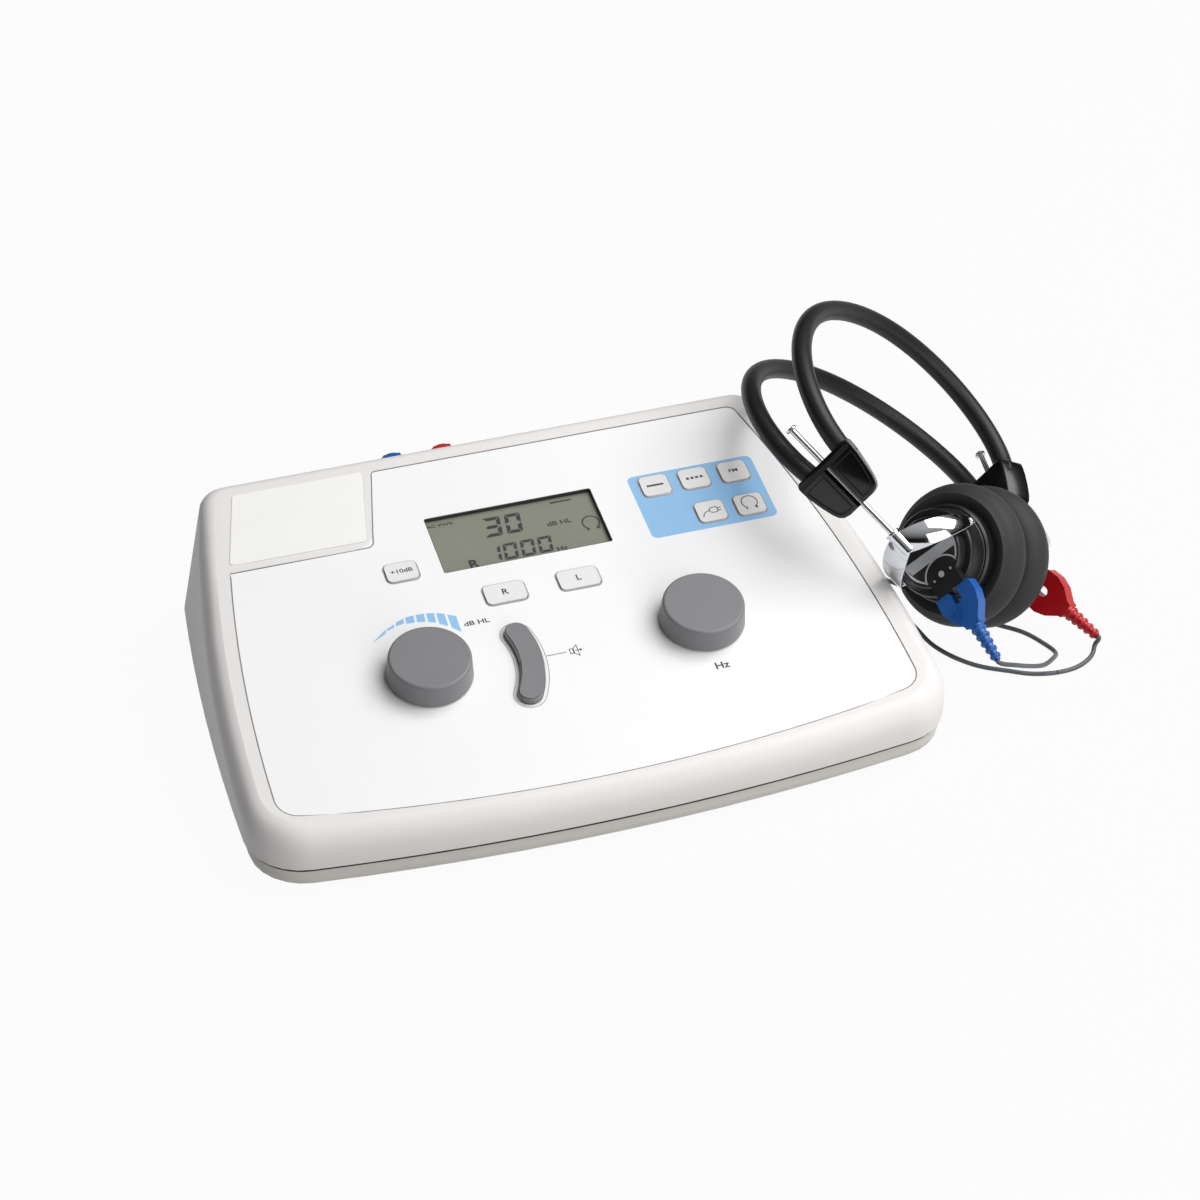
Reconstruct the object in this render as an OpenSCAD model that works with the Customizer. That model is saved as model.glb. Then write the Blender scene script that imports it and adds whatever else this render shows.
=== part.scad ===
// Screening audiometer: a wedge-shaped desk unit with a tilted control panel,
// and its two-earphone headset lying on the table at the right.
// Millimetres. X runs to the right of a person in front, Y to the back, Z up.

/* [Case] */
// Half width at the front corners
case_half_front = 170.5; // [166:0.5:178]
// Half width of the case at the back, at the seam
case_half_back = 158; // [154:0.5:164]
// Half width of the case at the back, under the top edge
top_half_back = 146; // [143:0.5:151]
// Distance from the display centre forward to the front wall
case_front = 166.5; // [160:0.5:175]
// Distance from the display centre back to the rear wall
case_back = 67; // [66:0.5:72]
// How far the front corners sit behind the middle of the front
front_bow = 13; // [8:0.5:18]
// Radius of the two front corners
front_corner_r = 29; // [22:0.5:34]
// Radius of the two rear corners
back_corner_r = 13; // [11:0.5:16]
// Height of the seam between the two shells
seam_z = 14; // [13.5:0.5:15]
// Shadow gap at the seam
seam_gap = 0.8; // [0.5:0.1:1.2]
// Wall of both shells
wall = 2.6; // [2.2:0.1:3]
// Width of the rounded top edge, at the front and sides
edge_w = 9; // [7:0.5:11]
// Depth of the rounded top edge, at the front and sides
edge_h = 13; // [10:0.5:13.5]
// Width and depth of the rounded top edge at the back
back_edge = 6; // [5:0.5:6]
// How far the lower shell stands in from the upper one
lower_inset = 1.5; // [1:0.1:2]
// Diameter of the four feet
foot_d = 12; // [10:0.5:14]
// Height of the shell's floor above the table
foot_h = 2; // [1.5:0.1:2.5]

/* [Panel] */
// Slope of the panel, in degrees
panel_tilt = 11.5; // [10.5:0.25:12]
// Height of the panel's face at the display centre
panel_z = 64; // [63.5:0.5:66]
// Thickness of the panel film
film_t = 0.4; // [0.3:0.05:0.6]
// Width of the display opening
display_w = 85.6; // [80:0.2:88]
// Depth of the display opening, front to back
display_d = 37.7; // [34:0.1:39]
// Thickness of the display window
window_t = 1.8; // [1.5:0.1:2.2]
// Depth of the display module behind its window
module_h = 7.6; // [7:0.1:8]
// Thickness of the circuit boards
board_t = 1.6; // [1.2:0.1:2]

/* [Keys and tone bar] */
// Width of the five mode keys
key_w = 14.2; // [13:0.1:15]
// Depth of the five mode keys, front to back
key_d = 13.2; // [12:0.1:14]
// Width of the two ear keys
ear_key_w = 20; // [18:0.2:22]
// Depth of the two ear keys, front to back
ear_key_d = 12; // [11:0.1:13]
// Width of the step key
step_key_w = 15.5; // [14:0.1:17]
// Depth of the step key, front to back
step_key_d = 11.5; // [10.5:0.1:12.5]
// Height of a key cap above the film
key_proud = 0.9; // [0.6:0.1:1.2]
// Travel of a key
key_travel = 1; // [0.6:0.1:1.1]
// Radius of the tone bar's centre line round the level knob
bar_r = 48.3; // [46:0.1:50]
// Width of the tone bar
bar_w = 11.5; // [10:0.1:12.5]
// Height of the tone bar above the film
bar_proud = 3.5; // [3:0.1:4]
// Travel of the tone bar
bar_travel = 1.5; // [1:0.1:1.6]

/* [Knobs] */
// Distance of each knob from the middle of the panel
knob_x = 67.5; // [64:0.5:70]
// Distance of the knobs from the display centre, along the panel
knob_y = 79.6; // [76:0.2:84]
// Diameter of a knob at its foot
knob_d = 41.5; // [38:0.5:44]
// Diameter of a knob at its top
knob_top_d = 39.5; // [36:0.5:37.5]
// Height of a knob's top above the film
knob_h = 12.6; // [11.5:0.1:14]
// Diameter of the encoder shafts
shaft_d = 6; // [5:0.1:6.2]

/* [Rear panel] */
// Height of the earphone jacks
jack_z = 64; // [62:0.5:64]
// Distance of the blue jack left of the middle
blue_jack_x = 43.5; // [38:0.5:50]
// Distance of the red jack left of the middle
red_jack_x = 17.5; // [13:0.5:22]
// Bore of the jacks
jack_bore = 6.4; // [6:0.1:6.6]
// Diameter of the jacks' threaded bush
jack_bush_d = 9.5; // [9:0.1:10]
// Width of a jack nut across its flats
nut_af = 14.6; // [13.5:0.1:14.8]
// Thickness of a jack nut
nut_h = 8; // [6:0.2:9]
// Bore of the power inlet
inlet_bore = 5.5; // [5:0.1:6]
// Width of the power rocker
rocker_w = 19; // [17:0.5:21]
// Height of the power rocker
rocker_h = 12; // [11:0.5:13]

/* [Batteries] */
// Diameter of a cell
cell_d = 14.5; // [14:0.1:14.5]
// Length of a cell
cell_l = 50.5; // [49:0.1:50.5]
// Half width of the battery door
door_half = 45; // [40:0.5:46]

/* [Headset] */
// Diameter of the padded headband tubes
band_d = 10.2; // [9:0.1:10.6]
// Reach of the headband from the earphones' axis to its crown
band_reach = 144; // [136:0.5:152]
// Distance of a tube from the headband's middle plane, at the crown
band_spread = 22.2; // [19:0.1:24]
// Angle by which each rod leans outward, in degrees
rod_splay = 23.5; // [20:0.5:26]
// Diameter of the rods
rod_d = 3.2; // [3:0.1:3.4]
// Distance from the fork's pin to the top of its rod
rod_top = 91; // [88:0.5:96]
// Radius of the fork, middle of the strip
fork_r = 24.1; // [23.9:0.1:24.6]
// Thickness of the fork strip
fork_t = 1.5; // [1.2:0.1:1.6]
// Outer diameter of an ear cushion
cushion_d = 71; // [68:0.5:71]
// Diameter of the earphone's rear ring
capsule_d = 49; // [47:0.5:49]
// Distance of the fork pins from the middle between the cushions
pivot_a = 33.5; // [33:0.1:34]
// Half the gap between the cushions
cushion_gap = 1.3; // [1.2:0.1:1.6]

/* [Cords] */
// Diameter of the earphone leads and of the plug tails
lead_d = 2.3; // [2.1:0.1:2.4]
// Diameter of the main cord
cord_d = 3.6; // [3.4:0.1:3.7]
// Turns in each of the coil's two layers
coil_turns = 5; // [4:1:5]
// Diameter of the jack plugs' handles
plug_d = 12; // [10:0.5:13]

/* [Clearances] */
// Gap round keys and covers that slide
slide_gap = 0.3; // [0.2:0.05:0.35]
// Radial clearance of a turning or sliding rod
running_gap = 0.05; // [0.04:0.01:0.08]

/* [Hidden] */
$fn = 64;
// The body and the headset are set about the middle of their footprint.
frame_shift = [-54, 39, 0];

// Shell levels and the panel's planes, as depths along the panel normal
margin_up = 0.2;
skin_under = margin_up - wall;
window_back = skin_under - window_t;
board_top = window_back - module_h;
board_back = board_top - board_t;
floor_top = foot_h + wall;
slope = tan(panel_tilt);

// Panel film outline
film_back = 57;
film_front = 159.8;
film_bow = 13.3;
film_corner_r = 12;
film_round = 6;
film_half_max = 155.9;
film_half_back = 131;
film_side_y = 137;
plate_gap = 0.15;
film_steps = 12;

// Display window and module, larger than the opening
window_lap = 4.2;
module_lap = 7.2;
display_corner = 1.2;

// Keys: centre x, centre y, width, depth
key_corner = 2.6;
keys = [
    [74.6, 11.7, key_w, key_d],
    [95.1, 11.6, key_w, key_d],
    [115.9, 11.4, key_w, key_d],
    [95.7, -12.2, key_w, key_d],
    [116.1, -12.4, key_w, key_d],
    [-62.6, -12.9, step_key_w, step_key_d],
    [-18.3, -38.8, ear_key_w, ear_key_d],
    [18.7, -38.7, ear_key_w, ear_key_d]
];
flange_lap = 1.4;
flange_t = 1.2;
rest_gap = 0.1;
switch_w = 6;
switch_h = 3.5;
switch_button_d = 3.4;
switch_button_h = 0.6;
touch_gap = 0.1;

// Tone bar: an arc round the level knob
bar_start = -30;
bar_end = 16;
bar_arc = bar_end - bar_start;
bar_mid = bar_start + bar_arc / 2;
arc_cuts = 20;
end_cuts = 14;
collar_w = 1.5;

// Knob and encoder
knob_foot = 0.8;
knob_edge_r = 1.5;
knob_wall = 2.2;
hub_d = 11;
bush_d = shaft_d + 1.2;
bush_top = 2.6;
encoder_nut_af = 10;
encoder_nut_h = 2;
hub_start = 3;
encoder_w = 12.4;
encoder_d = 14;
shaft_top = 10.4;
shaft_foot = 1.2;

// Case screws, feet, board bosses
screw_d = 3;
screw_head_d = 5.6;
screw_head_h = 1.8;
boss_d = 7.5;
case_screws_at = [[-140, -128], [140, -128], [-133, 43], [133, 43]];
feet_at = [[-125, -112], [125, -112], [-108, 45], [108, 45]];
bosses_at = [[-118, -100], [118, -100], [-118, 32], [118, 32]];
foot_t = 3;
board_half = 126;
board_front = 110;
board_rear = 37;

// Rear fittings
rear_board_y = 44;
rear_board_x0 = -62;
rear_board_x1 = 116;
rear_board_z0 = 30;
rear_board_z1 = 66;
jack_body_w = 15;
jack_body_h = 11;
jack_depth = 30;
response_x = 10;
low_jack_z = 42;
inlet_x = 56;
inlet_d = 11;
inlet_pin_d = 2;
rocker_x = 92;
rocker_frame_w = 2.2;
rocker_tilt = 7;
rocker_frame_l = rocker_w + 2 * rocker_frame_w;
rocker_frame_h = rocker_h + 2 * rocker_frame_w;
bush_out = 9;

// Battery bay
door_front_y = 4;
tray_wall = 1.6;
tray_h = 16.4;
cell_pitch = cell_d + 0.6;
cell_lift = 0.7;
cell_z = floor_top + cell_lift + cell_d / 2;
tray_half_x = 2 * cell_pitch + 0.4 + tray_wall;
tray_half_y = cell_l / 2 + 0.5 + tray_wall;
shell_round = 5.6;
cell_y = case_back - lower_inset - shell_round - 0.3 - tray_half_y;
pad_h = 1.4;

// Headset: middle point between the cushions, and how it lies
headset_at = [214.8, -61.9, 41.5];
headset_turn = [153, -30.2, -151];
block_t0 = 42.4;
block_t1 = 70.5;
block_wide = 36;
block_narrow = 15;
block_thick = 13;
block_mid = 21;
band_offset = 11;
socket_depth = 8;
band_bend = 34.6;
band_flat = 61.2;
sleeve_t0 = 9.9;
sleeve_l = 13;
sleeve_d = 6.4;
cap_d = 5.8;
cap_h = 1.8;
pin_d = 3;
pin_depth = 2;
cushion_r = cushion_d / 2;
ring_r = capsule_d / 2;
shell_r = fork_r - fork_t / 2 - 1.4;
label_r = 16;
ring_front = 18;
ring_back = 26.5;
shell_back = 37.2;
face_back = 42;
plug_a = 38;
plug_t = 7.4;
plug_u = shell_r + 0.4;
blue_turn = -4;
red_turn = 13;

// Routes of the cords, in the case's own frame, points chosen by hand
lead_z = lead_d / 2 + 0.05;
cord_z = cord_d / 2 + 0.4;
yoke_at = [182, 0, 2.4];
yoke_l = 20;
blue_route = [
    [206, -134, 28], [218, -128, 20], [230, -120, 12], [240, -110, 6.5],
    [246, -101, 3.5], [244, -91, 1.6], [238, -79, lead_z], [226, -67, lead_z],
    [216, -54, lead_z], [206, -40, lead_z], [198, -26, lead_z], [189, -14, lead_z]
];
red_route = [
    [266, -103, 4.5], [262, -109, 2.4], [252, -114, lead_z], [240, -115, lead_z],
    [228, -112, lead_z], [218, -106, lead_z], [206, -98, lead_z], [197, -87, lead_z],
    [191, -74, lead_z], [189, -60, lead_z], [186, -42, lead_z], [182, -22, lead_z]
];
main_route = [[184, 40, cord_z], [181, 62, cord_z], [171, 82, cord_z], [157, 102, cord_z]];
coil_at = [112, 112];
coil_r0 = 32;
coil_pitch = cord_d + 0.5;
coil_in = 30;
coil_out = 90;
coil_rings = 24;
split_l = 16;
split_gap = 8;
tail_bend = 22;
blue_plug_at = [50, 149, plug_d / 2 + 0.05];
red_plug_at = [50, 131, plug_d / 2 + 0.05];
plug_shaft_d = 6.3;
plug_shaft_l = 30;
plug_handle_l = 34;
plug_relief_l = 12;

// ---------------------------------------------------------------- frames

module placed() {
    translate(frame_shift) children();
}

module on_panel() {
    placed() translate([0, 0, panel_z]) rotate([panel_tilt, 0, 0]) children();
}

module on_headset() {
    placed() translate(headset_at) rotate(headset_turn) children();
}

// Side +1 is the earphone near the person in front, -1 the one that touches the table.
module on_side(side) {
    on_headset() mirror([side < 0 ? 1 : 0, 0, 0]) children();
}

// Local frame of a rod: X outward, Y along the rod to its cap, Z across the headband.
module on_rod(side) {
    on_side(side) translate([pivot_a, 0, 0]) rotate([0, 0, -rod_splay]) children();
}

// ---------------------------------------------------------------- skins and sweeps

// Solid through a list of closed rings with the same number of points, flat at both ends
module skin(rings) {
    n = len(rings[0]);
    last = len(rings) - 1;
    sides = [
        for (k = [0 : last - 1], i = [0 : n - 1], half = [0, 1])
            let (a = k * n + i, b = k * n + (i + 1) % n)
            half == 0 ? [a, a + n, b + n] : [a, b + n, b]
    ];
    bottom = [for (i = [0 : n - 1]) i];
    top = [for (i = [n - 1 : -1 : 0]) last * n + i];
    polyhedron(points = [for (r = rings, p = r) p], faces = concat([bottom], sides, [top]));
}

function unit(v) = v / norm(v);

function spline_point(a, b, c, d, t) =
    0.5 * (2 * b + (c - a) * t + (2 * a - 5 * b + 4 * c - d) * t * t
        + (3 * b - a - 3 * c + d) * t * t * t);

// Points of a smooth curve through p, about one step apart
function spline(p, step) =
    let (m = len(p) - 1)
    concat(
        [
            for (i = [0 : m - 1])
                let (
                    before = i == 0 ? 2 * p[0] - p[1] : p[i - 1],
                    after = i == m - 1 ? 2 * p[m] - p[m - 1] : p[i + 2],
                    cuts = max(1, round(norm(p[i + 1] - p[i]) / step))
                )
                for (k = [0 : cuts - 1]) spline_point(before, p[i], p[i + 1], after, k / cuts)
        ],
        [p[m]]
    );

function tangent(path, i) =
    unit(path[min(i + 1, len(path) - 1)] - path[max(i - 1, 0)]);

function path_length(path) =
    [for (k = [1 : len(path) - 1]) norm(path[k] - path[k - 1])] * [for (k = [1 : len(path) - 1]) 1];

function tube_ring(centre, along, r, sides) =
    let (across = unit(cross([0, 0, 1], along)), up = cross(along, across))
    [for (k = [0 : sides - 1]) let (a = 360 * (k + 0.5) / sides)
        centre + r * (cos(a) * across + sin(a) * up)];

module tube(path, d, sides) {
    skin([for (i = [0 : len(path) - 1]) tube_ring(path[i], tangent(path, i), d / 2, sides)]);
}

// ---------------------------------------------------------------- case outline

// Closed outline: bowed front, round front corners, sides that close in to the back
function outline(half_f, half_b, front, back, bow, r_f, r_b) =
    let (
        lean = atan(2 * bow * (half_f - r_f) / pow(half_f, 2)),
        x_s = half_f - r_f + r_f * sin(lean),
        y_s = -front + bow * pow(x_s / half_f, 2),
        y_c = y_s + r_f * cos(lean),
        run = back - r_b - y_c,
        turn = atan(2 * (half_f - half_b) / run),
        y_e = back - r_b * (1 - sin(turn)),
        right = concat(
            [for (k = [0 : 5]) let (x = x_s * k / 6) [x, -front + bow * pow(x / half_f, 2)]],
            [for (k = [0 : 6]) let (a = lean - 90 + (90 - lean) * k / 6)
                [half_f - r_f + r_f * cos(a), y_c + r_f * sin(a)]],
            [for (k = [1 : 8]) [half_f - (half_f - half_b) * pow(k / 8, 2), y_c + (y_e - y_c) * k / 8]],
            [for (k = [1 : 5]) let (a = turn + (90 - turn) * k / 5)
                [half_b - r_b * cos(turn) + r_b * cos(a), y_e - r_b * sin(turn) + r_b * sin(a)]]
        ),
        n = len(right)
    )
    concat(right, [for (k = [n - 1 : -1 : 1]) [-right[k][0], right[k][1]]]);

function case_outline(half_b, inset, back_inset) =
    outline(case_half_front - inset, half_b - inset, case_front - inset, case_back - back_inset,
        front_bow, max(2, front_corner_r - inset), max(2, back_corner_r - back_inset));

function top_z(y, depth = 0) = panel_z + (margin_up - depth) / cos(panel_tilt) + y * slope;

function edge_drop(y) =
    back_edge + (edge_h - back_edge) * min(1, max(0, (case_back - y) / 60));

function flat_ring(points, z) = [for (p = points) [p[0], p[1], z]];

// Ring that follows the panel's slope, sunk by a share of the rounded edge
function sloped_ring(points, share, depth) =
    [for (p = points) [p[0], p[1], top_z(p[1], depth) - share * edge_drop(p[1])]];

edge_steps = 5;
upper_bottom = seam_z + seam_gap / 2;
lower_top = seam_z - seam_gap / 2;

module upper_outer() {
    skin(concat(
        [flat_ring(case_outline(case_half_back, 0, 0), upper_bottom)],
        [for (k = [0 : edge_steps]) let (a = 90 * k / edge_steps, in = 1 - cos(a))
            sloped_ring(case_outline(top_half_back, edge_w * in, back_edge * in), 1 - sin(a), 0)]
    ));
}

module upper_inner() {
    skin([
        flat_ring(case_outline(case_half_back, wall, wall), upper_bottom - 1),
        sloped_ring(case_outline(top_half_back, wall, wall), 0.8, wall),
        sloped_ring(case_outline(top_half_back, wall + 2.2, wall + 1.6), 0.35, wall),
        sloped_ring(case_outline(top_half_back, wall + edge_w * 0.7, wall + back_edge * 0.7), 0, wall)
    ]);
}

function lower_ring(inset, z) =
    flat_ring(case_outline(case_half_back, lower_inset + inset, lower_inset + inset), z);

module lower_outer() {
    skin([
        lower_ring(5.5, foot_h), lower_ring(2.6, foot_h + 0.7), lower_ring(0.9, foot_h + 2.6),
        lower_ring(0.2, foot_h + 5.5), lower_ring(0, lower_top)
    ]);
}

module lower_inner() {
    skin([lower_ring(shell_round, floor_top), lower_ring(wall, foot_h + 7), lower_ring(wall, lower_top + 1)]);
}

lip_clear = 0.35;
lip_t = 1.4;
lip_top = seam_z + 3;
function lip_ring(extra, z) =
    flat_ring(case_outline(case_half_back, wall + lip_clear + extra, wall + lip_clear + extra), z);

// Rim of the lower shell that seats inside the upper one
module lip() {
    difference() {
        skin([lip_ring(0, lower_top - 3.5), lip_ring(0, lower_top), lip_ring(1, lip_top)]);
        skin([
            lip_ring(lip_t, lower_top - 4.5), lip_ring(lip_t, lower_top), lip_ring(lip_t + 1, lip_top + 1)
        ]);
    }
}

module door_space(gap) {
    half = door_half - gap;
    front = door_front_y + gap;
    translate([-half, front, -1]) cube([2 * half, case_back + 5 - front, lip_top + 3]);
}

// ---------------------------------------------------------------- flat shapes on the panel

module rounded(w, d, r, h, z) {
    translate([0, 0, z]) linear_extrude(height = h) union() {
        square([w - 2 * r, d], center = true);
        square([w, d - 2 * r], center = true);
        for (x = [-1, 1], y = [-1, 1]) translate([x * (w / 2 - r), y * (d / 2 - r)]) circle(r);
    }
}

// Outline of a bar bent round a centre, with round ends
function band_outline(r, half_w) =
    concat(
        [for (k = [0 : arc_cuts]) let (a = bar_start + bar_arc * k / arc_cuts)
            (r + half_w) * [cos(a), sin(a)]],
        [for (k = [1 : end_cuts - 1]) let (a = bar_end + 180 * k / end_cuts)
            r * [cos(bar_end), sin(bar_end)] + half_w * [cos(a), sin(a)]],
        [for (k = [arc_cuts : -1 : 0]) let (a = bar_start + bar_arc * k / arc_cuts)
            (r - half_w) * [cos(a), sin(a)]],
        [for (k = [1 : end_cuts - 1]) let (a = bar_start + 180 + 180 * k / end_cuts)
            r * [cos(bar_start), sin(bar_start)] + half_w * [cos(a), sin(a)]]
    );

module bar_shape(grow, h, z) {
    translate([-knob_x, -knob_y, z]) linear_extrude(height = h) polygon(band_outline(bar_r, bar_w / 2 + grow));
}

// Outline of the film: the straight back, the sides that widen to the front, the bowed front
function film_half(y) =
    film_half_max - (film_half_max - film_half_back) * pow((y + film_side_y) / (film_back + film_side_y), 2);
function film_edge(y_front) =
    let (x_c = film_half_max - film_corner_r, y_c = y_front + film_corner_r)
    concat(
        [for (k = [0 : 6]) let (a = -85 + 80 * k / 6)
            [x_c + film_corner_r * cos(a), y_c + film_corner_r * sin(a)]],
        [for (k = [0 : film_steps]) let (y = y_c + 4 + (film_back - film_round - y_c - 4) * k / film_steps)
            [film_half(y), y]],
        [for (k = [1 : 4]) let (a = 10 + 80 * k / 4)
            [film_half(film_back - film_round) - film_round + film_round * cos(a),
                film_back - film_round + film_round * sin(a)]]
    );
function film_outline() =
    let (
        y_corner = -film_front + film_bow * pow(film_half_max / 149, 2) - 1.2,
        side = film_edge(y_corner),
        front = [for (k = [0 : 5]) let (x = (film_half_max - film_corner_r) * k / 6)
            [x, -film_front + film_bow * pow(x / 149, 2)]],
        right = concat(front, side)
    )
    concat(right, [for (k = [len(right) - 1 : -1 : 1]) [-right[k][0], right[k][1]]]);

// Place of the name plate, at the film's back left corner
notch_points = [
    [-120, 75], [-160, 75], [-160, 7.5], [-80, 6.9], [-73, 9], [-70.1, 13], [-59.5, 57.4], [-58, 75]
];
plate_corner = 2;
plate_t = 0.9;

module film_shape(h, z) {
    translate([0, 0, z]) linear_extrude(height = h) difference() {
        polygon(film_outline());
        polygon(notch_points);
    }
}

// Soft-cornered four-sided plate that follows the case edge
module plate_shape(grow, h, z) {
    corners = [[-127.5, 55.5], [-138.6, 13.8], [-74.5, 13.2], [-65.5, 55.5]];
    translate([0, 0, z]) linear_extrude(height = h) union() {
        polygon([for (c = corners) c + [0, plate_corner + grow]]);
        polygon([for (c = corners) c - [0, plate_corner + grow]]);
        polygon([for (c = corners) c + [plate_corner + grow, 0]]);
        polygon([for (c = corners) c - [plate_corner + grow, 0]]);
        for (c = corners) translate(c) circle(plate_corner + grow);
    }
}

// ---------------------------------------------------------------- shells

key_slot = 0.35;

module key_hole(k, grow, h, z) {
    translate([k[0], k[1], 0]) rounded(k[2] + 2 * grow, k[3] + 2 * grow, key_corner + grow, h, z);
}

module panel_holes() {
    rounded(display_w, display_d, display_corner, 2 * wall, skin_under - wall / 2);
    for (k = keys) key_hole(k, key_slot, 2 * wall, skin_under - wall / 2);
    bar_shape(key_slot, 2 * wall + 2, skin_under - wall / 2);
    for (x = [-knob_x, knob_x]) {
        translate([x, -knob_y, skin_under - 1]) cylinder(d = bush_d + 0.3, h = wall + 2);
    }
}

module recess() {
    film_shape(wall, -film_t);
    plate_shape(plate_gap, wall, -film_t);
}

jacks_at = [[-blue_jack_x, jack_z], [-red_jack_x, jack_z], [response_x, low_jack_z]];

module rear_holes() {
    for (j = jacks_at) {
        translate([j[0], case_back - wall - 1, j[1]]) rotate([-90, 0, 0])
            cylinder(d = jack_bush_d + 0.3, h = wall + 2);
    }
    translate([inlet_x, case_back - wall - 1, low_jack_z]) rotate([-90, 0, 0])
        cylinder(d = inlet_d + 0.3, h = wall + 2);
    translate([rocker_x, case_back, low_jack_z])
        cube([rocker_frame_l + 0.3, 3 * wall, rocker_frame_h + 0.3], center = true);
}

module upper_case() {
    color("#e9e6e0") difference() {
        union() {
            placed() difference() {
                upper_outer();
                upper_inner();
            }
            on_panel() for (b = bosses_at) {
                translate([b[0], b[1], board_top]) cylinder(d = boss_d, h = skin_under - board_top + 0.6);
            }
            on_panel() bar_shape(collar_w, wall - 0.4, skin_under + 0.1);
            placed() for (s = case_screws_at) {
                translate([s[0], s[1], floor_top])
                    cylinder(d = boss_d, h = top_z(s[1], wall) - floor_top + 0.3);
            }
        }
        on_panel() difference() {
            recess();
            bar_shape(collar_w, wall, -wall);
        }
        on_panel() panel_holes();
        placed() rear_holes();
        on_panel() for (b = bosses_at) {
            translate([b[0], b[1], board_top - 1]) cylinder(d = screw_d - 0.4, h = 7);
        }
        placed() for (s = case_screws_at) {
            translate([s[0], s[1], floor_top - 1]) cylinder(d = screw_d - 0.4, h = 11);
        }
    }
}

module lower_shell() {
    difference() {
        lower_outer();
        lower_inner();
    }
}

vent_rows = 7;

module lower_case() {
    color("#d9d5cd") placed() difference() {
        union() {
            lower_shell();
            lip();
            for (f = feet_at) translate([f[0], f[1], floor_top - 0.5]) cylinder(d = foot_d + 3, h = 1.7);
            for (s = case_screws_at) translate([s[0], s[1], floor_top - 0.5]) cylinder(d = 10, h = 0.5);
        }
        door_space(0);
        for (f = feet_at) {
            translate([f[0], f[1], foot_h - 1]) cylinder(d = foot_d + 0.2, h = foot_t - foot_h + 1.01);
        }
        for (s = case_screws_at) {
            translate([s[0], s[1], foot_h - 1]) cylinder(d = screw_d + 0.4, h = wall + 3);
            translate([s[0], s[1], foot_h - 1]) cylinder(d = screw_head_d + 0.4, h = 1 + 0.9);
        }
        for (k = [0 : vent_rows - 1], x = [-75, 75]) {
            translate([x - 18, -60 + 7 * k, foot_h - 1]) cube([36, 2.4, wall + 2]);
        }
    }
}

module battery_door() {
    color("#d9d5cd") placed() difference() {
        intersection() {
            lower_shell();
            door_space(slide_gap);
        }
        for (k = [0 : 3]) {
            translate([-14, 44 + 3.2 * k, foot_h]) rotate([0, 90, 0]) cylinder(d = 1.2, h = 28);
        }
    }
}

module battery_tray() {
    color("#2b2d2f") placed() difference() {
        union() {
            translate([-tray_half_x, cell_y - tray_half_y, floor_top + 0.4])
                cube([2 * tray_half_x, 2 * tray_half_y, tray_h]);
            translate([-door_half - 9, cell_y - 20, floor_top + pad_h])
                cube([2 * door_half + 18, 40, tray_wall]);
            for (x = [-1, 1], y = [-14, 14]) {
                translate([x * (door_half + 5), cell_y + y, floor_top]) cylinder(d = 6, h = pad_h + 0.2);
            }
        }
        translate([-tray_half_x + tray_wall, cell_y - tray_half_y + tray_wall, floor_top - 1])
            cube([2 * (tray_half_x - tray_wall), 2 * (tray_half_y - tray_wall), tray_h + 1.4 - tray_wall]);
    }
}

module batteries() {
    color("#b9a24a") placed() for (k = [0 : 3]) {
        translate([(k - 1.5) * cell_pitch, cell_y, cell_z]) rotate([k % 2 == 0 ? 90 : -90, 0, 0]) {
            translate([0, 0, -cell_l / 2]) cylinder(d = cell_d, h = cell_l - 1.2);
            translate([0, 0, cell_l / 2 - 1.4]) cylinder(d = 5.4, h = 1.4);
        }
    }
}

module feet() {
    color("#3a3a3c") placed() for (f = feet_at) {
        translate([f[0], f[1], 0]) cylinder(d = foot_d, h = foot_t);
    }
}

module machine_screw(l) {
    translate([0, 0, -screw_head_h]) cylinder(d = screw_head_d, h = screw_head_h);
    cylinder(d = screw_d - 0.5, h = l);
}

module case_screws() {
    color("silver") placed() for (s = case_screws_at) {
        translate([s[0], s[1], foot_h + 0.9]) difference() {
            union() {
                translate([0, 0, -0.8]) cylinder(d = screw_head_d, h = 0.8);
                cylinder(d = screw_d - 0.5, h = 10);
            }
            for (a = [0, 90]) rotate([0, 0, a]) translate([-1.6, -0.3, -1]) cube([3.2, 0.6, 0.7]);
        }
    }
}

// ---------------------------------------------------------------- panel pieces

module panel_film() {
    color("#f4f3f1") on_panel() difference() {
        film_shape(film_t, -film_t);
        rounded(display_w, display_d, display_corner, 2, -1);
        for (k = keys) key_hole(k, key_slot, 2, -1);
        bar_shape(collar_w, 2, -1);
        for (x = [-knob_x, knob_x]) {
            translate([x, -knob_y, -1]) cylinder(d = encoder_nut_af * 1.2 + 1, h = 2);
        }
    }
}

module name_plate() {
    color("#eeece8") on_panel() plate_shape(0, plate_t, -film_t);
}

module display_window() {
    color("#8d9484") on_panel()
        translate([-display_w / 2 - window_lap, -display_d / 2 - window_lap, window_back])
        cube([display_w + 2 * window_lap, display_d + 2 * window_lap, window_t]);
}

module display_module() {
    color("#2d3a34") on_panel()
        translate([-display_w / 2 - module_lap, -display_d / 2 - module_lap, board_top])
        cube([display_w + 2 * module_lap, display_d + 2 * module_lap, module_h]);
}

module main_board() {
    color("#1f5f3a") on_panel() difference() {
        translate([-board_half, -board_front, board_back])
            cube([2 * board_half, board_front + board_rear, board_t]);
        for (b = bosses_at) {
            translate([b[0], b[1], board_back - 1]) cylinder(d = screw_d + 0.2, h = board_t + 2);
        }
    }
}

module board_screws() {
    color("silver") on_panel() for (b = bosses_at) {
        translate([b[0], b[1], board_back]) machine_screw(board_t + 5);
    }
}

key_stem_foot = board_top + switch_h + switch_button_h + key_travel + touch_gap;

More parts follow.
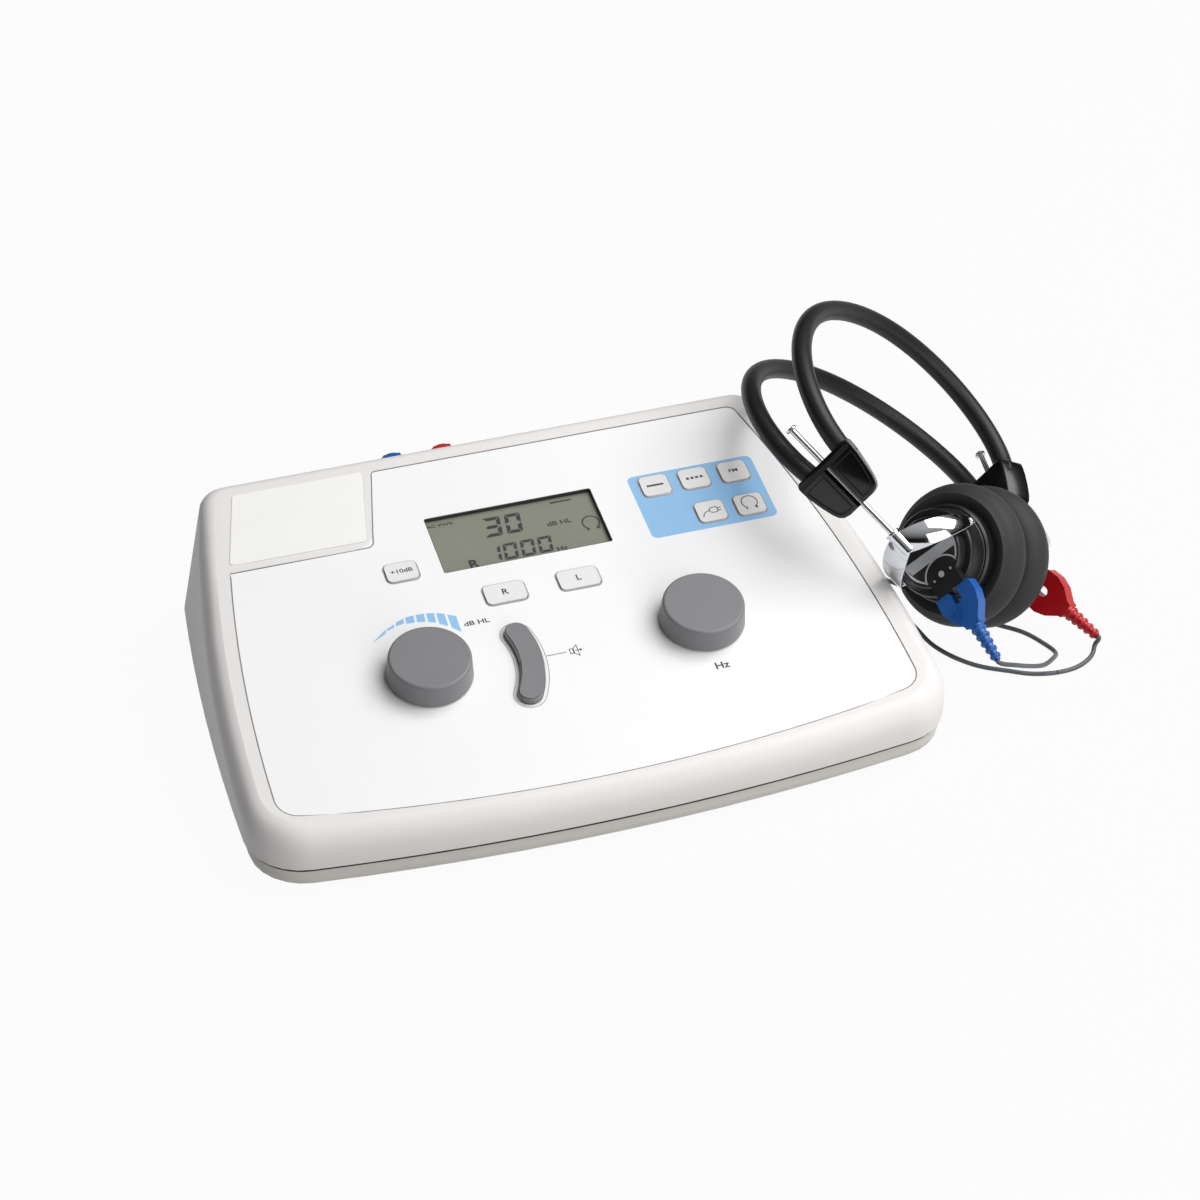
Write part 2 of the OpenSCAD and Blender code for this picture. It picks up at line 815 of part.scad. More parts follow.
module tact_switch(x, y) {
    translate([x, y, board_top]) {
        translate([-switch_w / 2, -switch_w / 2, 0]) cube([switch_w, switch_w, switch_h]);
        cylinder(d = switch_button_d, h = switch_h + switch_button_h);
    }
}

bar_stem_at = [-knob_x + bar_r * cos(bar_mid), -knob_y + bar_r * sin(bar_mid)];

module tact_switches() {
    color("#2a2a2a") on_panel() {
        for (k = keys) tact_switch(k[0], k[1]);
        tact_switch(bar_stem_at[0], bar_stem_at[1]);
    }
}

module key(i) {
    k = keys[i];
    on_panel() translate([k[0], k[1], 0]) {
        rounded(k[2], k[3], key_corner, key_proud - skin_under + rest_gap + 0.2, skin_under - rest_gap - 0.2);
        rounded(k[2] + 2 * flange_lap, k[3] + 2 * flange_lap, key_corner, flange_t,
            skin_under - rest_gap - flange_t);
        translate([0, 0, key_stem_foot]) cylinder(d = 5, h = skin_under - rest_gap - key_stem_foot - 0.5);
    }
}

module key_steady() { color("#f2efe9") key(0); }
module key_pulsed() { color("#f2efe9") key(1); }
module key_warble() { color("#f2efe9") key(2); }
module key_line_input() { color("#f2efe9") key(3); }
module key_headphones() { color("#f2efe9") key(4); }
module key_step() { color("#f2efe9") key(5); }
module key_right_ear() { color("#f2efe9") key(6); }
module key_left_ear() { color("#f2efe9") key(7); }

module tone_bar() {
    stem_foot = board_top + switch_h + switch_button_h + bar_travel + touch_gap;
    rise = 0.7;
    color("#77777a") on_panel() union() {
        bar_shape(0, bar_proud - rise - skin_under + 0.3, skin_under - 0.3);
        bar_shape(-rise, rise, bar_proud - rise);
        bar_shape(flange_lap, flange_t, skin_under - rest_gap - flange_t);
        translate([bar_stem_at[0], bar_stem_at[1], stem_foot])
            cylinder(d = 5, h = skin_under - rest_gap - stem_foot - 0.5);
    }
}

// ---------------------------------------------------------------- knobs and encoders

module encoder(x) {
    translate([x, -knob_y, 0]) difference() {
        union() {
            translate([-encoder_w / 2, -encoder_d / 2, board_top])
                cube([encoder_w, encoder_d, skin_under - board_top - 0.6]);
            translate([0, 0, board_top]) cylinder(d = bush_d, h = bush_top - board_top);
        }
        translate([0, 0, board_top + shaft_foot]) cylinder(d = shaft_d + 2 * running_gap, h = 20);
    }
}

module encoders() {
    color("#8f9496") on_panel() {
        encoder(-knob_x);
        encoder(knob_x);
    }
}

module hex_ring(af, bore, h) {
    difference() {
        cylinder(d = af / cos(30), h = h, $fn = 6);
        translate([0, 0, -1]) cylinder(d = bore, h = h + 2);
    }
}

module encoder_nuts() {
    color("silver") on_panel() for (x = [-knob_x, knob_x]) {
        translate([x, -knob_y, -film_t]) hex_ring(encoder_nut_af, bush_d, encoder_nut_h);
    }
}

module knob(x) {
    r = knob_d / 2;
    r_top = knob_top_d / 2;
    e = knob_edge_r;
    lean = (r - r_top) / (knob_h - knob_foot);
    edge = [for (k = [0 : 6]) [r_top - e + e * cos(15 * k), knob_h - e + e * sin(15 * k)]];
    profile = concat(
        [[0, knob_h - knob_wall], [r_top - knob_wall - 1, knob_h - knob_wall]],
        [[r - knob_wall, knob_foot], [r - 0.4, knob_foot], [r, knob_foot + 0.4]],
        edge,
        [[0, knob_h]]
    );
    on_panel() translate([x, -knob_y, 0]) difference() {
        union() {
            rotate_extrude() polygon(profile);
            translate([0, 0, hub_start]) cylinder(d = hub_d, h = knob_h - knob_wall / 2 - hub_start);
            for (a = [0 : 60 : 300]) rotate([0, 0, a]) translate([hub_d / 2 - 1, -0.6, 6])
                cube([r_top - knob_wall - hub_d / 2 + 0.2, 1.2, knob_h - 7]);
        }
        translate([0, 0, hub_start - 1]) cylinder(d = shaft_d, h = shaft_top - hub_start + 1);
    }
}

module knob_shaft(x) {
    on_panel() translate([x, -knob_y, board_top + shaft_foot + 0.1])
        cylinder(d = shaft_d, h = shaft_top - board_top - shaft_foot - 0.1);
}

module level_knob() { color("#7b7b7d") knob(-knob_x); }
module frequency_knob() { color("#7b7b7d") knob(knob_x); }
module level_shaft() { color("silver") knob_shaft(-knob_x); }
module frequency_shaft() { color("silver") knob_shaft(knob_x); }

// ---------------------------------------------------------------- rear fittings

module rear_board() {
    color("#1f5f3a") placed() translate([rear_board_x0, rear_board_y, rear_board_z0])
        cube([rear_board_x1 - rear_board_x0, board_t, rear_board_z1 - rear_board_z0]);
}

rear_face = case_back - wall;
board_face = rear_board_y + board_t;

module jack(at) {
    placed() difference() {
        union() {
            translate([at[0] - jack_body_w / 2, board_face, at[1] - jack_body_h / 2])
                cube([jack_body_w, rear_face - board_face, jack_body_h]);
            translate([at[0], rear_face - 1, at[1]]) rotate([-90, 0, 0])
                cylinder(d = jack_bush_d, h = wall + 1 + bush_out);
        }
        translate([at[0], case_back + bush_out - jack_depth + 1.5, at[1]]) rotate([-90, 0, 0])
            cylinder(d = jack_bore, h = jack_depth);
    }
}

module jack_blue() { color("#31363a") jack(jacks_at[0]); }
module jack_red() { color("#31363a") jack(jacks_at[1]); }
module response_jack() { color("#31363a") jack(jacks_at[2]); }

module jack_nuts() {
    color("#2f6bb3") placed() for (j = jacks_at) {
        translate([j[0], case_back, j[1]]) rotate([-90, 30, 0]) hex_ring(nut_af, jack_bush_d, nut_h);
    }
}

module power_inlet() {
    color("#222222") placed() union() {
        difference() {
            union() {
                translate([inlet_x - 7, board_face, low_jack_z - 6]) cube([14, rear_face - board_face, 12]);
                translate([inlet_x, rear_face - 1, low_jack_z]) rotate([-90, 0, 0])
                    cylinder(d = inlet_d, h = wall + 1.4);
            }
            translate([inlet_x, case_back - 10, low_jack_z]) rotate([-90, 0, 0])
                cylinder(d = inlet_bore, h = 20);
        }
        translate([inlet_x, case_back - 11, low_jack_z]) rotate([-90, 0, 0])
            cylinder(d = inlet_pin_d, h = 10);
    }
}

module rocker_frame() {
    w = rocker_frame_l;
    h = rocker_frame_h;
    color("#1c1c1e") placed() translate([rocker_x, 0, low_jack_z]) difference() {
        union() {
            translate([-w / 2 - 1.5, case_back, -h / 2 - 1.5]) cube([w + 3, 1.6, h + 3]);
            translate([-w / 2, board_face, -h / 2]) cube([w, case_back - board_face + 1, h]);
        }
        translate([-rocker_w / 2 - slide_gap, case_back - 12, -rocker_h / 2 - slide_gap])
            cube([rocker_w + 2 * slide_gap, 20, rocker_h + 2 * slide_gap]);
        translate([0, case_back - 4, -h]) cylinder(d = 2.4 + 2 * running_gap, h = 2 * h);
    }
}

module power_rocker() {
    half = rocker_w / 2 - 0.6;
    rise = 2.2;
    depth = case_back - 4;
    color("#26262a") placed() translate([rocker_x, depth, low_jack_z]) rotate([0, 0, rocker_tilt]) union() {
        translate([0, 0, -rocker_h / 2 + 0.2]) linear_extrude(height = rocker_h - 0.4)
            polygon([[-half, -2], [half, -2], [half, 4.2 + rise], [0, 4.2 + rise - half * sin(rocker_tilt)],
                [-half, 4.2 + rise]]);
        translate([0, 0, -rocker_h / 2 - 1.6]) cylinder(d = 2.4, h = rocker_h + 3.2);
    }
}

// ---------------------------------------------------------------- headband and rods

function rod_place(out, along, z) = [
    pivot_a + out * cos(rod_splay) + along * sin(rod_splay),
    -out * sin(rod_splay) + along * cos(rod_splay),
    z
];

function bezier(a, b, c, d, t) =
    pow(1 - t, 3) * a + 3 * pow(1 - t, 2) * t * b + 3 * (1 - t) * t * t * c + pow(t, 3) * d;

band_cuts = 13;

// Centre line of one padded tube, from the near block over the crown to the far block
function band_path(z) =
    let (
        level = z * band_offset,
        crown = z * band_spread,
        foot = rod_place(block_mid, block_t1 - socket_depth, level),
        start = rod_place(block_mid, block_t1 + 0.5, level),
        rise = (crown - level) / (band_reach - start[1]),
        away = unit([sin(rod_splay), cos(rod_splay), rise]),
        half = [for (k = [0 : band_cuts])
            bezier(start, start + band_bend * away, [band_flat, band_reach, crown], [0, band_reach, crown],
                k / band_cuts)]
    )
    concat([foot], half, [for (k = [band_cuts - 1 : -1 : 0]) [-half[k][0], half[k][1], half[k][2]]],
        [[-foot[0], foot[1], foot[2]]]);

module upper_tube() { color("#1f1f21") on_headset() tube(band_path(-1), band_d, 14); }
module lower_tube() { color("#1f1f21") on_headset() tube(band_path(1), band_d, 14); }

groove_floor = fork_r - rod_d / 2 - 0.2;
bridge_l = 8;

module block(side) {
    long = block_t1 - block_t0;
    half_wide = block_wide / 2;
    half_narrow = block_narrow / 2;
    chamfer = 4;
    in = block_mid - block_thick / 2;
    out = block_mid + block_thick / 2;
    on_rod(side) difference() {
        translate([in, 0, 0]) rotate([0, 90, 0]) linear_extrude(height = out - in) polygon([
            [-half_wide + chamfer, block_t1], [half_wide - chamfer, block_t1],
            [half_wide, block_t1 - chamfer], [half_wide - 1.5, block_t1 - long * 0.45],
            [half_narrow + 2, block_t0 + 2], [half_narrow, block_t0],
            [-half_narrow, block_t0], [-half_narrow - 2, block_t0 + 2],
            [-half_wide + 1.5, block_t1 - long * 0.45], [-half_wide, block_t1 - chamfer]
        ]);
        translate([fork_r, block_t0 - 1, 0]) rotate([-90, 0, 0])
            cylinder(r = rod_d / 2 + running_gap, h = long + 2);
        translate([fork_r, block_t0 - 1, -rod_d / 2 - 0.2]) cube([out, long - bridge_l + 1, rod_d + 0.4]);
        for (z = [-1, 1]) {
            translate([block_mid, block_t1 - socket_depth - 0.2, z * band_offset]) rotate([-90, 0, 0])
                cylinder(d = band_d + 0.1, h = socket_depth + 2);
        }
    }
}

module near_block() { color("#111113") block(1); }
module far_block() { color("#111113") block(-1); }

rod_foot = sleeve_t0 + 1.5;

module rod(side) {
    on_rod(side) {
        translate([fork_r, rod_foot, 0]) rotate([-90, 0, 0]) cylinder(d = rod_d, h = rod_top - rod_foot);
        translate([fork_r, rod_top - 0.1, 0]) rotate([-90, 0, 0]) cylinder(d = cap_d, h = cap_h);
    }
}

module near_rod() { color("#d5d7da") rod(1); }
module far_rod() { color("#d5d7da") rod(-1); }

fork_steps = 20;

// One cut through the fork strip: s runs from 0 at a pin to 1 at the sleeve
function fork_ring(a) =
    let (
        s = 1 - abs(a - 90) / 90,
        low = -2 + 11 * s * s,
        high = 2 + 20 * s,
        r_in = fork_r - fork_t / 2,
        r_out = fork_r + fork_t / 2
    )
    [
        [r_in * sin(a), high, r_in * cos(a)], [r_out * sin(a), high, r_out * cos(a)],
        [r_out * sin(a), low, r_out * cos(a)], [r_in * sin(a), low, r_in * cos(a)]
    ];

module fork(side) {
    reach = fork_r + fork_t / 2;
    on_rod(side) difference() {
        union() {
            skin([for (k = [0 : fork_steps]) fork_ring(180 * k / fork_steps)]);
            translate([fork_r, sleeve_t0, 0]) rotate([-90, 0, 0]) cylinder(d = sleeve_d, h = sleeve_l);
            translate([fork_r, sleeve_t0 + sleeve_l - 1.4, 0]) rotate([-90, 0, 0])
                cylinder(d = sleeve_d + 1.2, h = 1.4);
            for (z = [-1, 1]) {
                translate([0, 0, z > 0 ? reach - 0.4 : -reach + 0.4]) rotate([z > 0 ? 180 : 0, 0, 0]) {
                    cylinder(d = pin_d, h = reach - 0.4 - shell_r + pin_depth);
                    translate([0, 0, -1.1]) cylinder(d = 4, h = 1.5);
                }
            }
        }
        translate([fork_r, rod_foot, 0]) rotate([-90, 0, 0]) cylinder(d = rod_d, h = 30);
    }
}

module near_fork() { color("#d5d7da") fork(1); }
module far_fork() { color("#d5d7da") fork(-1); }

// ---------------------------------------------------------------- earphones

module round_axis() {
    rotate([90, 0, 90]) rotate_extrude() children();
}

module capsule(side, turn) {
    on_side(side) difference() {
        union() {
            round_axis() polygon([
                [0, ring_front], [ring_r - 1, ring_front], [ring_r, ring_front + 1], [ring_r, ring_back - 1],
                [ring_r - 1, ring_back], [shell_r + 0.6, ring_back], [shell_r, ring_back + 0.6],
                [shell_r, shell_back - 1], [shell_r - 1, shell_back], [label_r + 2, shell_back],
                [label_r + 1.4, face_back - 0.6], [label_r + 0.8, face_back], [label_r, face_back],
                [label_r, face_back - 0.4], [0, face_back - 0.4]
            ]);
            rotate([turn, 0, 0]) translate([plug_a - plug_t / 2 - 0.6, -plug_u, -8])
                cube([plug_t + 1.2, plug_u - label_r + 3, 16]);
        }
        translate([pivot_a, 0, 0]) for (z = [0, 180]) rotate([z, 0, 0]) {
            translate([0, 0, shell_r - pin_depth - 0.3]) cylinder(r = pin_d / 2 + running_gap, h = 8);
        }
        rotate([0, 90, 0]) translate([0, 0, ring_front - 1]) cylinder(d = 14, h = 4);
    }
}

module near_capsule() { color("#1b1b1d") capsule(1, blue_turn); }
module far_capsule() { color("#1b1b1d") capsule(-1, red_turn); }

// Moulded cushion: dished contact face, full rim, drawn in to the ring that it clips round
module cushion(side) {
    seat = ring_r + 0.02;
    on_side(side) round_axis() polygon([
        [9, ring_front - 5], [11, 8.6], [15, 5.2], [19.5, 2.5], [23.5, cushion_gap + 0.25],
        [26, cushion_gap], [28.5, cushion_gap + 0.3], [31.5, 3], [34, 5.8], [cushion_r - 0.3, 9],
        [cushion_r, 11.5], [cushion_r - 0.4, 14.5], [cushion_r - 1.8, 18], [cushion_r - 4.4, 20.6],
        [30, 21.9], [27.4, 21.6], [seat + 0.8, 20.6], [seat, 20.2], [seat, ring_front - 0.02],
        [9, ring_front - 0.02]
    ]);
}

module near_cushion() { color("#2a2a2c") cushion(1); }
module far_cushion() { color("#2a2a2c") cushion(-1); }

lobe_w = 8;
lobe_gap = 5;
plug_body_l = 21;
relief_l = 20;
relief_ribs = 5;

// Moulded lead plug: two lobes with a notch, a tapered body and a ribbed strain relief
module lead_plug(side, turn) {
    w = 2 * lobe_w + lobe_gap;
    neck = 4.4;
    on_side(side) rotate([turn, 0, 0]) translate([plug_a, -plug_u, 0]) union() {
        translate([-plug_t / 2, 0, 0]) rotate([0, 90, 0]) linear_extrude(height = plug_t) polygon([
            [-w / 2, 0], [-lobe_gap / 2, 0], [-lobe_gap / 2, -6], [-1, -7.5], [1, -7.5], [lobe_gap / 2, -6],
            [lobe_gap / 2, 0], [w / 2, 0], [w / 2 + 0.4, -7], [w / 2 - 1.6, -13], [neck, -19],
            [neck - 0.4, -plug_body_l], [-neck + 0.4, -plug_body_l], [-neck, -19], [-w / 2 + 1.6, -13],
            [-w / 2 - 0.4, -7]
        ]);
        rotate([90, 0, 0]) translate([0, 0, plug_body_l - 2]) cylinder(r1 = 3.4, r2 = 2, h = relief_l + 2);
        for (k = [0 : relief_ribs - 1]) {
            rotate([90, 0, 0]) translate([0, 0, plug_body_l + 1.2 + 3.9 * k])
                cylinder(r1 = 3.9 - 0.28 * k, r2 = 3.7 - 0.28 * k, h = 2.2);
        }
    }
}

module blue_plug() { color("#1f63c4") lead_plug(1, blue_turn); }
module red_plug() { color("#c8161d") lead_plug(-1, red_turn); }

// ---------------------------------------------------------------- cords

function turn_x(p, a) = [p[0], p[1] * cos(a) - p[2] * sin(a), p[1] * sin(a) + p[2] * cos(a)];
function turn_y(p, a) = [p[0] * cos(a) + p[2] * sin(a), p[1], p[2] * cos(a) - p[0] * sin(a)];
function turn_z(p, a) = [p[0] * cos(a) - p[1] * sin(a), p[0] * sin(a) + p[1] * cos(a), p[2]];
function headset_point(p) =
    headset_at + turn_z(turn_y(turn_x(p, headset_turn[0]), headset_turn[1]), headset_turn[2]);

// Point on a lead plug's axis, a distance below the capsule's flat
function plug_point(side, turn, down) =
    let (p = turn_x([plug_a, -plug_u - down, 0], turn)) headset_point([side * p[0], p[1], p[2]]);

lead_step = 7;
plug_l = plug_body_l + relief_l;

function lead_path(side, turn, route, end) =
    spline(concat([plug_point(side, turn, plug_l), plug_point(side, turn, plug_l + lead_d)], route,
        [end - [0, lead_d, 0], end]), lead_step);

yoke_spread = 1.8;
module lead_blue() {
    color("#55585b") placed()
        tube(lead_path(1, blue_turn, blue_route, yoke_at + [yoke_spread, 0, 0]), lead_d, 8);
}
module lead_red() {
    color("#55585b") placed()
        tube(lead_path(-1, red_turn, red_route, yoke_at - [yoke_spread, 0, 0]), lead_d, 8);
}

module cord_yoke() {
    color("#3c3e40") placed() translate(yoke_at) hull() {
        for (x = [-1, 1]) translate([x * yoke_spread, 0, 0]) rotate([-90, 0, 0])
            cylinder(d = 4.2, h = 2, $fn = 24);
        translate([0, yoke_l - 2, 0]) rotate([-90, 0, 0]) cylinder(d = 4.6, h = 2, $fn = 24);
    }
}

// Cord coil: spirals in on the lower layer, climbs, spirals out on the upper one, steps down
coil_climb = 0.5;
coil_leave = (coil_out - coil_in) / 360;
coil_layers_end = 2 * coil_turns;
coil_total = coil_layers_end + coil_leave;
coil_step_out = 1.5 * coil_pitch;

function ease(t) = let (u = min(1, max(0, t))) u * u * (3 - 2 * u);

function coil_radius(s) =
    coil_r0 - coil_pitch * max(0, min(s, coil_layers_end - s))
        + coil_step_out * ease((s - coil_layers_end) / coil_leave);

function coil_height(s) =
    cord_z + coil_pitch * ease((s - coil_turns) / coil_climb + 0.5)
        - coil_pitch * ease((s - coil_layers_end) / coil_leave * 1.5 - 0.5);

function coil_point(s) =
    let (a = coil_in + 360 * s, r = coil_radius(s))
    [coil_at[0] + r * cos(a), coil_at[1] + r * sin(a), coil_height(s)];

coil_count = ceil(coil_total * coil_rings);
coil_middle = [for (k = [0 : coil_count]) coil_point(coil_total * k / coil_count)];
coil_start_way = [-sin(coil_in), cos(coil_in), 0];
coil_end_way = [-sin(coil_out), cos(coil_out), 0];
coil_start = coil_middle[0] - cord_d * coil_start_way;
coil_end = coil_middle[coil_count] + cord_d * coil_end_way;
coil_path = concat([coil_start], coil_middle, [coil_end]);

// Least gap of the cord to itself, between points more than a third of a turn apart
coil_apart = ceil(coil_rings / 3);
coil_gap = min([for (i = [0 : coil_count - coil_apart], j = [i + coil_apart : coil_count])
    norm(coil_middle[i] - coil_middle[j])]) - cord_d;

module cord_coil() {
    echo(coil_least_gap_mm = coil_gap);
    echo(coil_length_mm = path_length(coil_path));
    color("#3c3e40") placed() tube(coil_path, cord_d, 6);
}

main_start = yoke_at + [0, yoke_l, 0];

module main_cord() {
    color("#3c3e40") placed() tube(
        spline(concat([main_start, main_start + [0, cord_d, 0]], main_route,
            [coil_start - cord_d * coil_start_way, coil_start]), 3 * cord_d), cord_d, 8);
}

split_foot = coil_end + split_l * coil_end_way;

module cord_split() {
    color("#3c3e40") placed() hull() {
        translate(coil_end) rotate([0, -90, 0]) cylinder(d = 4.2, h = 2, $fn = 24);
        for (y = [-1, 1]) translate(split_foot + [2, y * split_gap / 2, 0]) rotate([0, -90, 0])
            cylinder(d = 3.6, h = 2, $fn = 24);
    }
}

function tail_path(side, at) =
    let (from = split_foot + [0, side * split_gap / 2, 0])
    spline([from, from - [lead_d, 0, 0], (from + at) / 2 + [0, 0, 0.2], at + [lead_d, 0, 0], at], lead_step);

module tail_blue() { color("#55585b") placed() tube(tail_path(1, blue_plug_at), lead_d, 8); }
module tail_red() { color("#55585b") placed() tube(tail_path(-1, red_plug_at), lead_d, 8); }

module jack_plug(at) {
    translate(at) rotate([0, -90, 0]) {
        cylinder(r1 = 2.2, r2 = 3.4, h = plug_relief_l);
        translate([0, 0, plug_relief_l - 0.5]) cylinder(d = plug_d, h = plug_handle_l);
        translate([0, 0, plug_relief_l + plug_handle_l - 1]) cylinder(d = plug_d - 2.4, h = 3);
        translate([0, 0, plug_relief_l + plug_handle_l]) rotate_extrude() polygon([
            [0, 0], [plug_shaft_d / 2, 0], [plug_shaft_d / 2, plug_shaft_l - 6], [1.9, plug_shaft_l - 5],
            [plug_shaft_d / 2 - 0.1, plug_shaft_l - 3], [0.6, plug_shaft_l], [0, plug_shaft_l]
        ]);
    }
}

module jack_plugs() {
    color("#2c2e31") placed() {
        jack_plug(blue_plug_at);
        jack_plug(red_plug_at);
    }
}

upper_case();
lower_case();
battery_door();
battery_tray();
batteries();
feet();
case_screws();
panel_film();
name_plate();
display_window();
display_module();
main_board();
board_screws();
tact_switches();
encoders();
encoder_nuts();
level_knob();
level_shaft();
frequency_knob();
frequency_shaft();
tone_bar();
key_steady();
key_pulsed();
key_warble();
key_line_input();
key_headphones();
key_step();
key_right_ear();
key_left_ear();
rear_board();
jack_blue();
jack_red();
jack_nuts();
response_jack();
power_inlet();
rocker_frame();
power_rocker();
upper_tube();
lower_tube();
near_block();
far_block();
near_rod();
near_fork();
far_rod();
far_fork();
near_capsule();
near_cushion();
far_capsule();
far_cushion();
blue_plug();
red_plug();
lead_blue();
lead_red();
cord_yoke();
main_cord();
cord_coil();
cord_split();
tail_blue();
tail_red();
jack_plugs();
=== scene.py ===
import math

import bmesh
import bpy
from mathutils import Matrix, Vector


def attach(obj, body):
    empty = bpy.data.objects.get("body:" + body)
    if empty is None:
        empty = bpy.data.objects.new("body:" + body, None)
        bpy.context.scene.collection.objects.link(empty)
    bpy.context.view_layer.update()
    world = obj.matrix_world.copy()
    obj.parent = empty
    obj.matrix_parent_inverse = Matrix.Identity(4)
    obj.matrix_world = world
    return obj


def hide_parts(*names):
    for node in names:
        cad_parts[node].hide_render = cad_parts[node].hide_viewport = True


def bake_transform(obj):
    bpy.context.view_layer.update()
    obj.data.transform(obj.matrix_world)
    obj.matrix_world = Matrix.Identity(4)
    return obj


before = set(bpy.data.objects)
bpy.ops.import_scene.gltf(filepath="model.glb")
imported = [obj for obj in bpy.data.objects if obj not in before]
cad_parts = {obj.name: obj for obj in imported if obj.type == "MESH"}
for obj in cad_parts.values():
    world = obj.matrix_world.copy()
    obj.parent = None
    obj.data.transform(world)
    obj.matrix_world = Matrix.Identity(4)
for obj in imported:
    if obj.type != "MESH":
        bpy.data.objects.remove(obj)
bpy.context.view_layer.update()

# ---------------------------------------------------------------- camera, floor and light
# A camera held a little left of the middle and above the panel, over a plain pale floor. The
# light is a big soft panel high at the right and a weaker one in front, so that the left side
# of the case falls off to grey.

MM = 0.001


def millimetres(*point):
    return Vector(point) * MM


def placed(name, data):
    """The object that holds this data, put in the scene."""
    made = bpy.data.objects.new(name, data)
    bpy.context.scene.collection.objects.link(made)
    return made


camera = placed("camera", bpy.data.cameras.new("camera"))
bpy.context.scene.camera = camera
camera.data.sensor_width = 36
camera.data.lens = 95.55
camera.data.clip_start = 0.05
camera.data.clip_end = 60
camera_right = Vector((0.94990, -0.31253, -0.00475))
camera_up = Vector((0.18801, 0.55919, 0.80744))
camera_back = Vector((-0.24969, -0.76788, 0.58993))
camera.matrix_world = (Matrix.Translation(millimetres(-410.85, -1187.17, 953.94))
    @ Matrix((camera_right, camera_up, camera_back)).transposed().to_4x4())


def colour(code):
    """Linear red, green, blue and alpha of an sRGB hex colour."""
    parts = [int(code[i:i + 2], 16) / 255 for i in (0, 2, 4)]
    return [c / 12.92 if c <= 0.04045 else ((c + 0.055) / 1.055) ** 2.4 for c in parts] + [1]


def add(tree, kind, settings={}, inputs={}):
    """Adds a node. Settings are its own values; inputs are numbers, or sockets to link."""
    made = tree.nodes.new(kind)
    for name, value in settings.items():
        setattr(made, name, value)
    for name, value in inputs.items():
        if isinstance(value, bpy.types.NodeSocket):
            tree.links.new(value, made.inputs[name])
        else:
            made.inputs[name].default_value = value
    return made


# Paper that glows for the camera, so that only soft shadows darken it.
floor_paint = bpy.data.materials.new("white_paper_sweep")
floor_paint.use_nodes = True
tree = floor_paint.node_tree
tree.nodes.clear()
glow_share = 0.95
rays = add(tree, "ShaderNodeLightPath").outputs
seen = add(tree, "ShaderNodeMath", {"operation": "MAXIMUM"},
    {0: rays["Is Camera Ray"], 1: rays["Is Glossy Ray"]})
share = add(tree, "ShaderNodeMath", {"operation": "MULTIPLY"}, {0: seen.outputs[0], 1: glow_share})
paper = add(tree, "ShaderNodeBsdfDiffuse", {}, {"Color": colour("b4b4b4")})
glow = add(tree, "ShaderNodeEmission", {}, {"Color": (1, 1, 1, 1), "Strength": 1.0})
both = add(tree, "ShaderNodeMixShader", {},
    {0: share.outputs[0], 1: paper.outputs[0], 2: glow.outputs[0]})
add(tree, "ShaderNodeOutputMaterial", {}, {"Surface": both.outputs[0]})

floor_half = 25
floor_corners = [(x * floor_half, y * floor_half, 0) for x, y in ((-1, -1), (1, -1), (1, 1), (-1, 1))]
floor_mesh = bpy.data.meshes.new("floor")
floor_mesh.from_pydata(floor_corners, [], [(0, 1, 2, 3)])
floor_mesh.materials.append(floor_paint)
floor = placed("floor", floor_mesh)

# A white studio: a weak even fill, and for glossy faces a room that is dark low down and
# pale overhead.
world = bpy.data.worlds.new("studio")
bpy.context.scene.world = world
world.use_nodes = True
tree = world.node_tree
tree.nodes.clear()
rays = add(tree, "ShaderNodeLightPath").outputs
up = add(tree, "ShaderNodeSeparateXYZ", {}, {0: add(tree, "ShaderNodeTexCoord").outputs["Generated"]})
ceiling = add(tree, "ShaderNodeMapRange", {},
    {"Value": up.outputs["Z"], "From Min": 0.3, "From Max": 0.95, "To Min": 0.01, "To Max": 0.5})
fill = add(tree, "ShaderNodeBackground", {}, {"Color": colour("f2f4f8"), "Strength": 0.12})
room = add(tree, "ShaderNodeBackground", {}, {"Color": (1, 1, 1, 1), "Strength": ceiling.outputs[0]})
white = add(tree, "ShaderNodeBackground", {}, {"Color": (1, 1, 1, 1), "Strength": 1.0})
glossy = add(tree, "ShaderNodeMixShader", {},
    {0: rays["Is Glossy Ray"], 1: fill.outputs[0], 2: room.outputs[0]})
seen = add(tree, "ShaderNodeMath", {"operation": "MAXIMUM"},
    {0: rays["Is Camera Ray"], 1: rays["Is Transmission Ray"]})
both = add(tree, "ShaderNodeMixShader", {},
    {0: seen.outputs[0], 1: glossy.outputs[0], 2: white.outputs[0]})
add(tree, "ShaderNodeOutputWorld", {}, {"Surface": both.outputs[0]})


def softbox(name, place, target, size, power):
    lamp = bpy.data.lights.new(name, "AREA")
    lamp.size = size
    lamp.energy = power
    box = placed(name, lamp)
    box.location = place
    box.rotation_euler = (Vector(target) - Vector(place)).to_track_quat("-Z", "Y").to_euler()


softbox("softbox_right", (1.3, -0.1, 2.1), (0, 0, 0), 2.2, 71)
softbox("softbox_front", (0.7, -2.2, 0.9), (0, 0, 0.05), 1.8, 25)

bpy.context.scene.view_settings.view_transform = "Standard"

# ---------------------------------------------------------------- headset leads and cord
# Two thin round leads, grey PVC over stranded wire, leave the earphone plugs, lie in loose
# curves on the table and meet in a moulded yoke. One thicker cord runs on from there behind
# the case, where its spare length is coiled, and splits again to the two jack plugs.

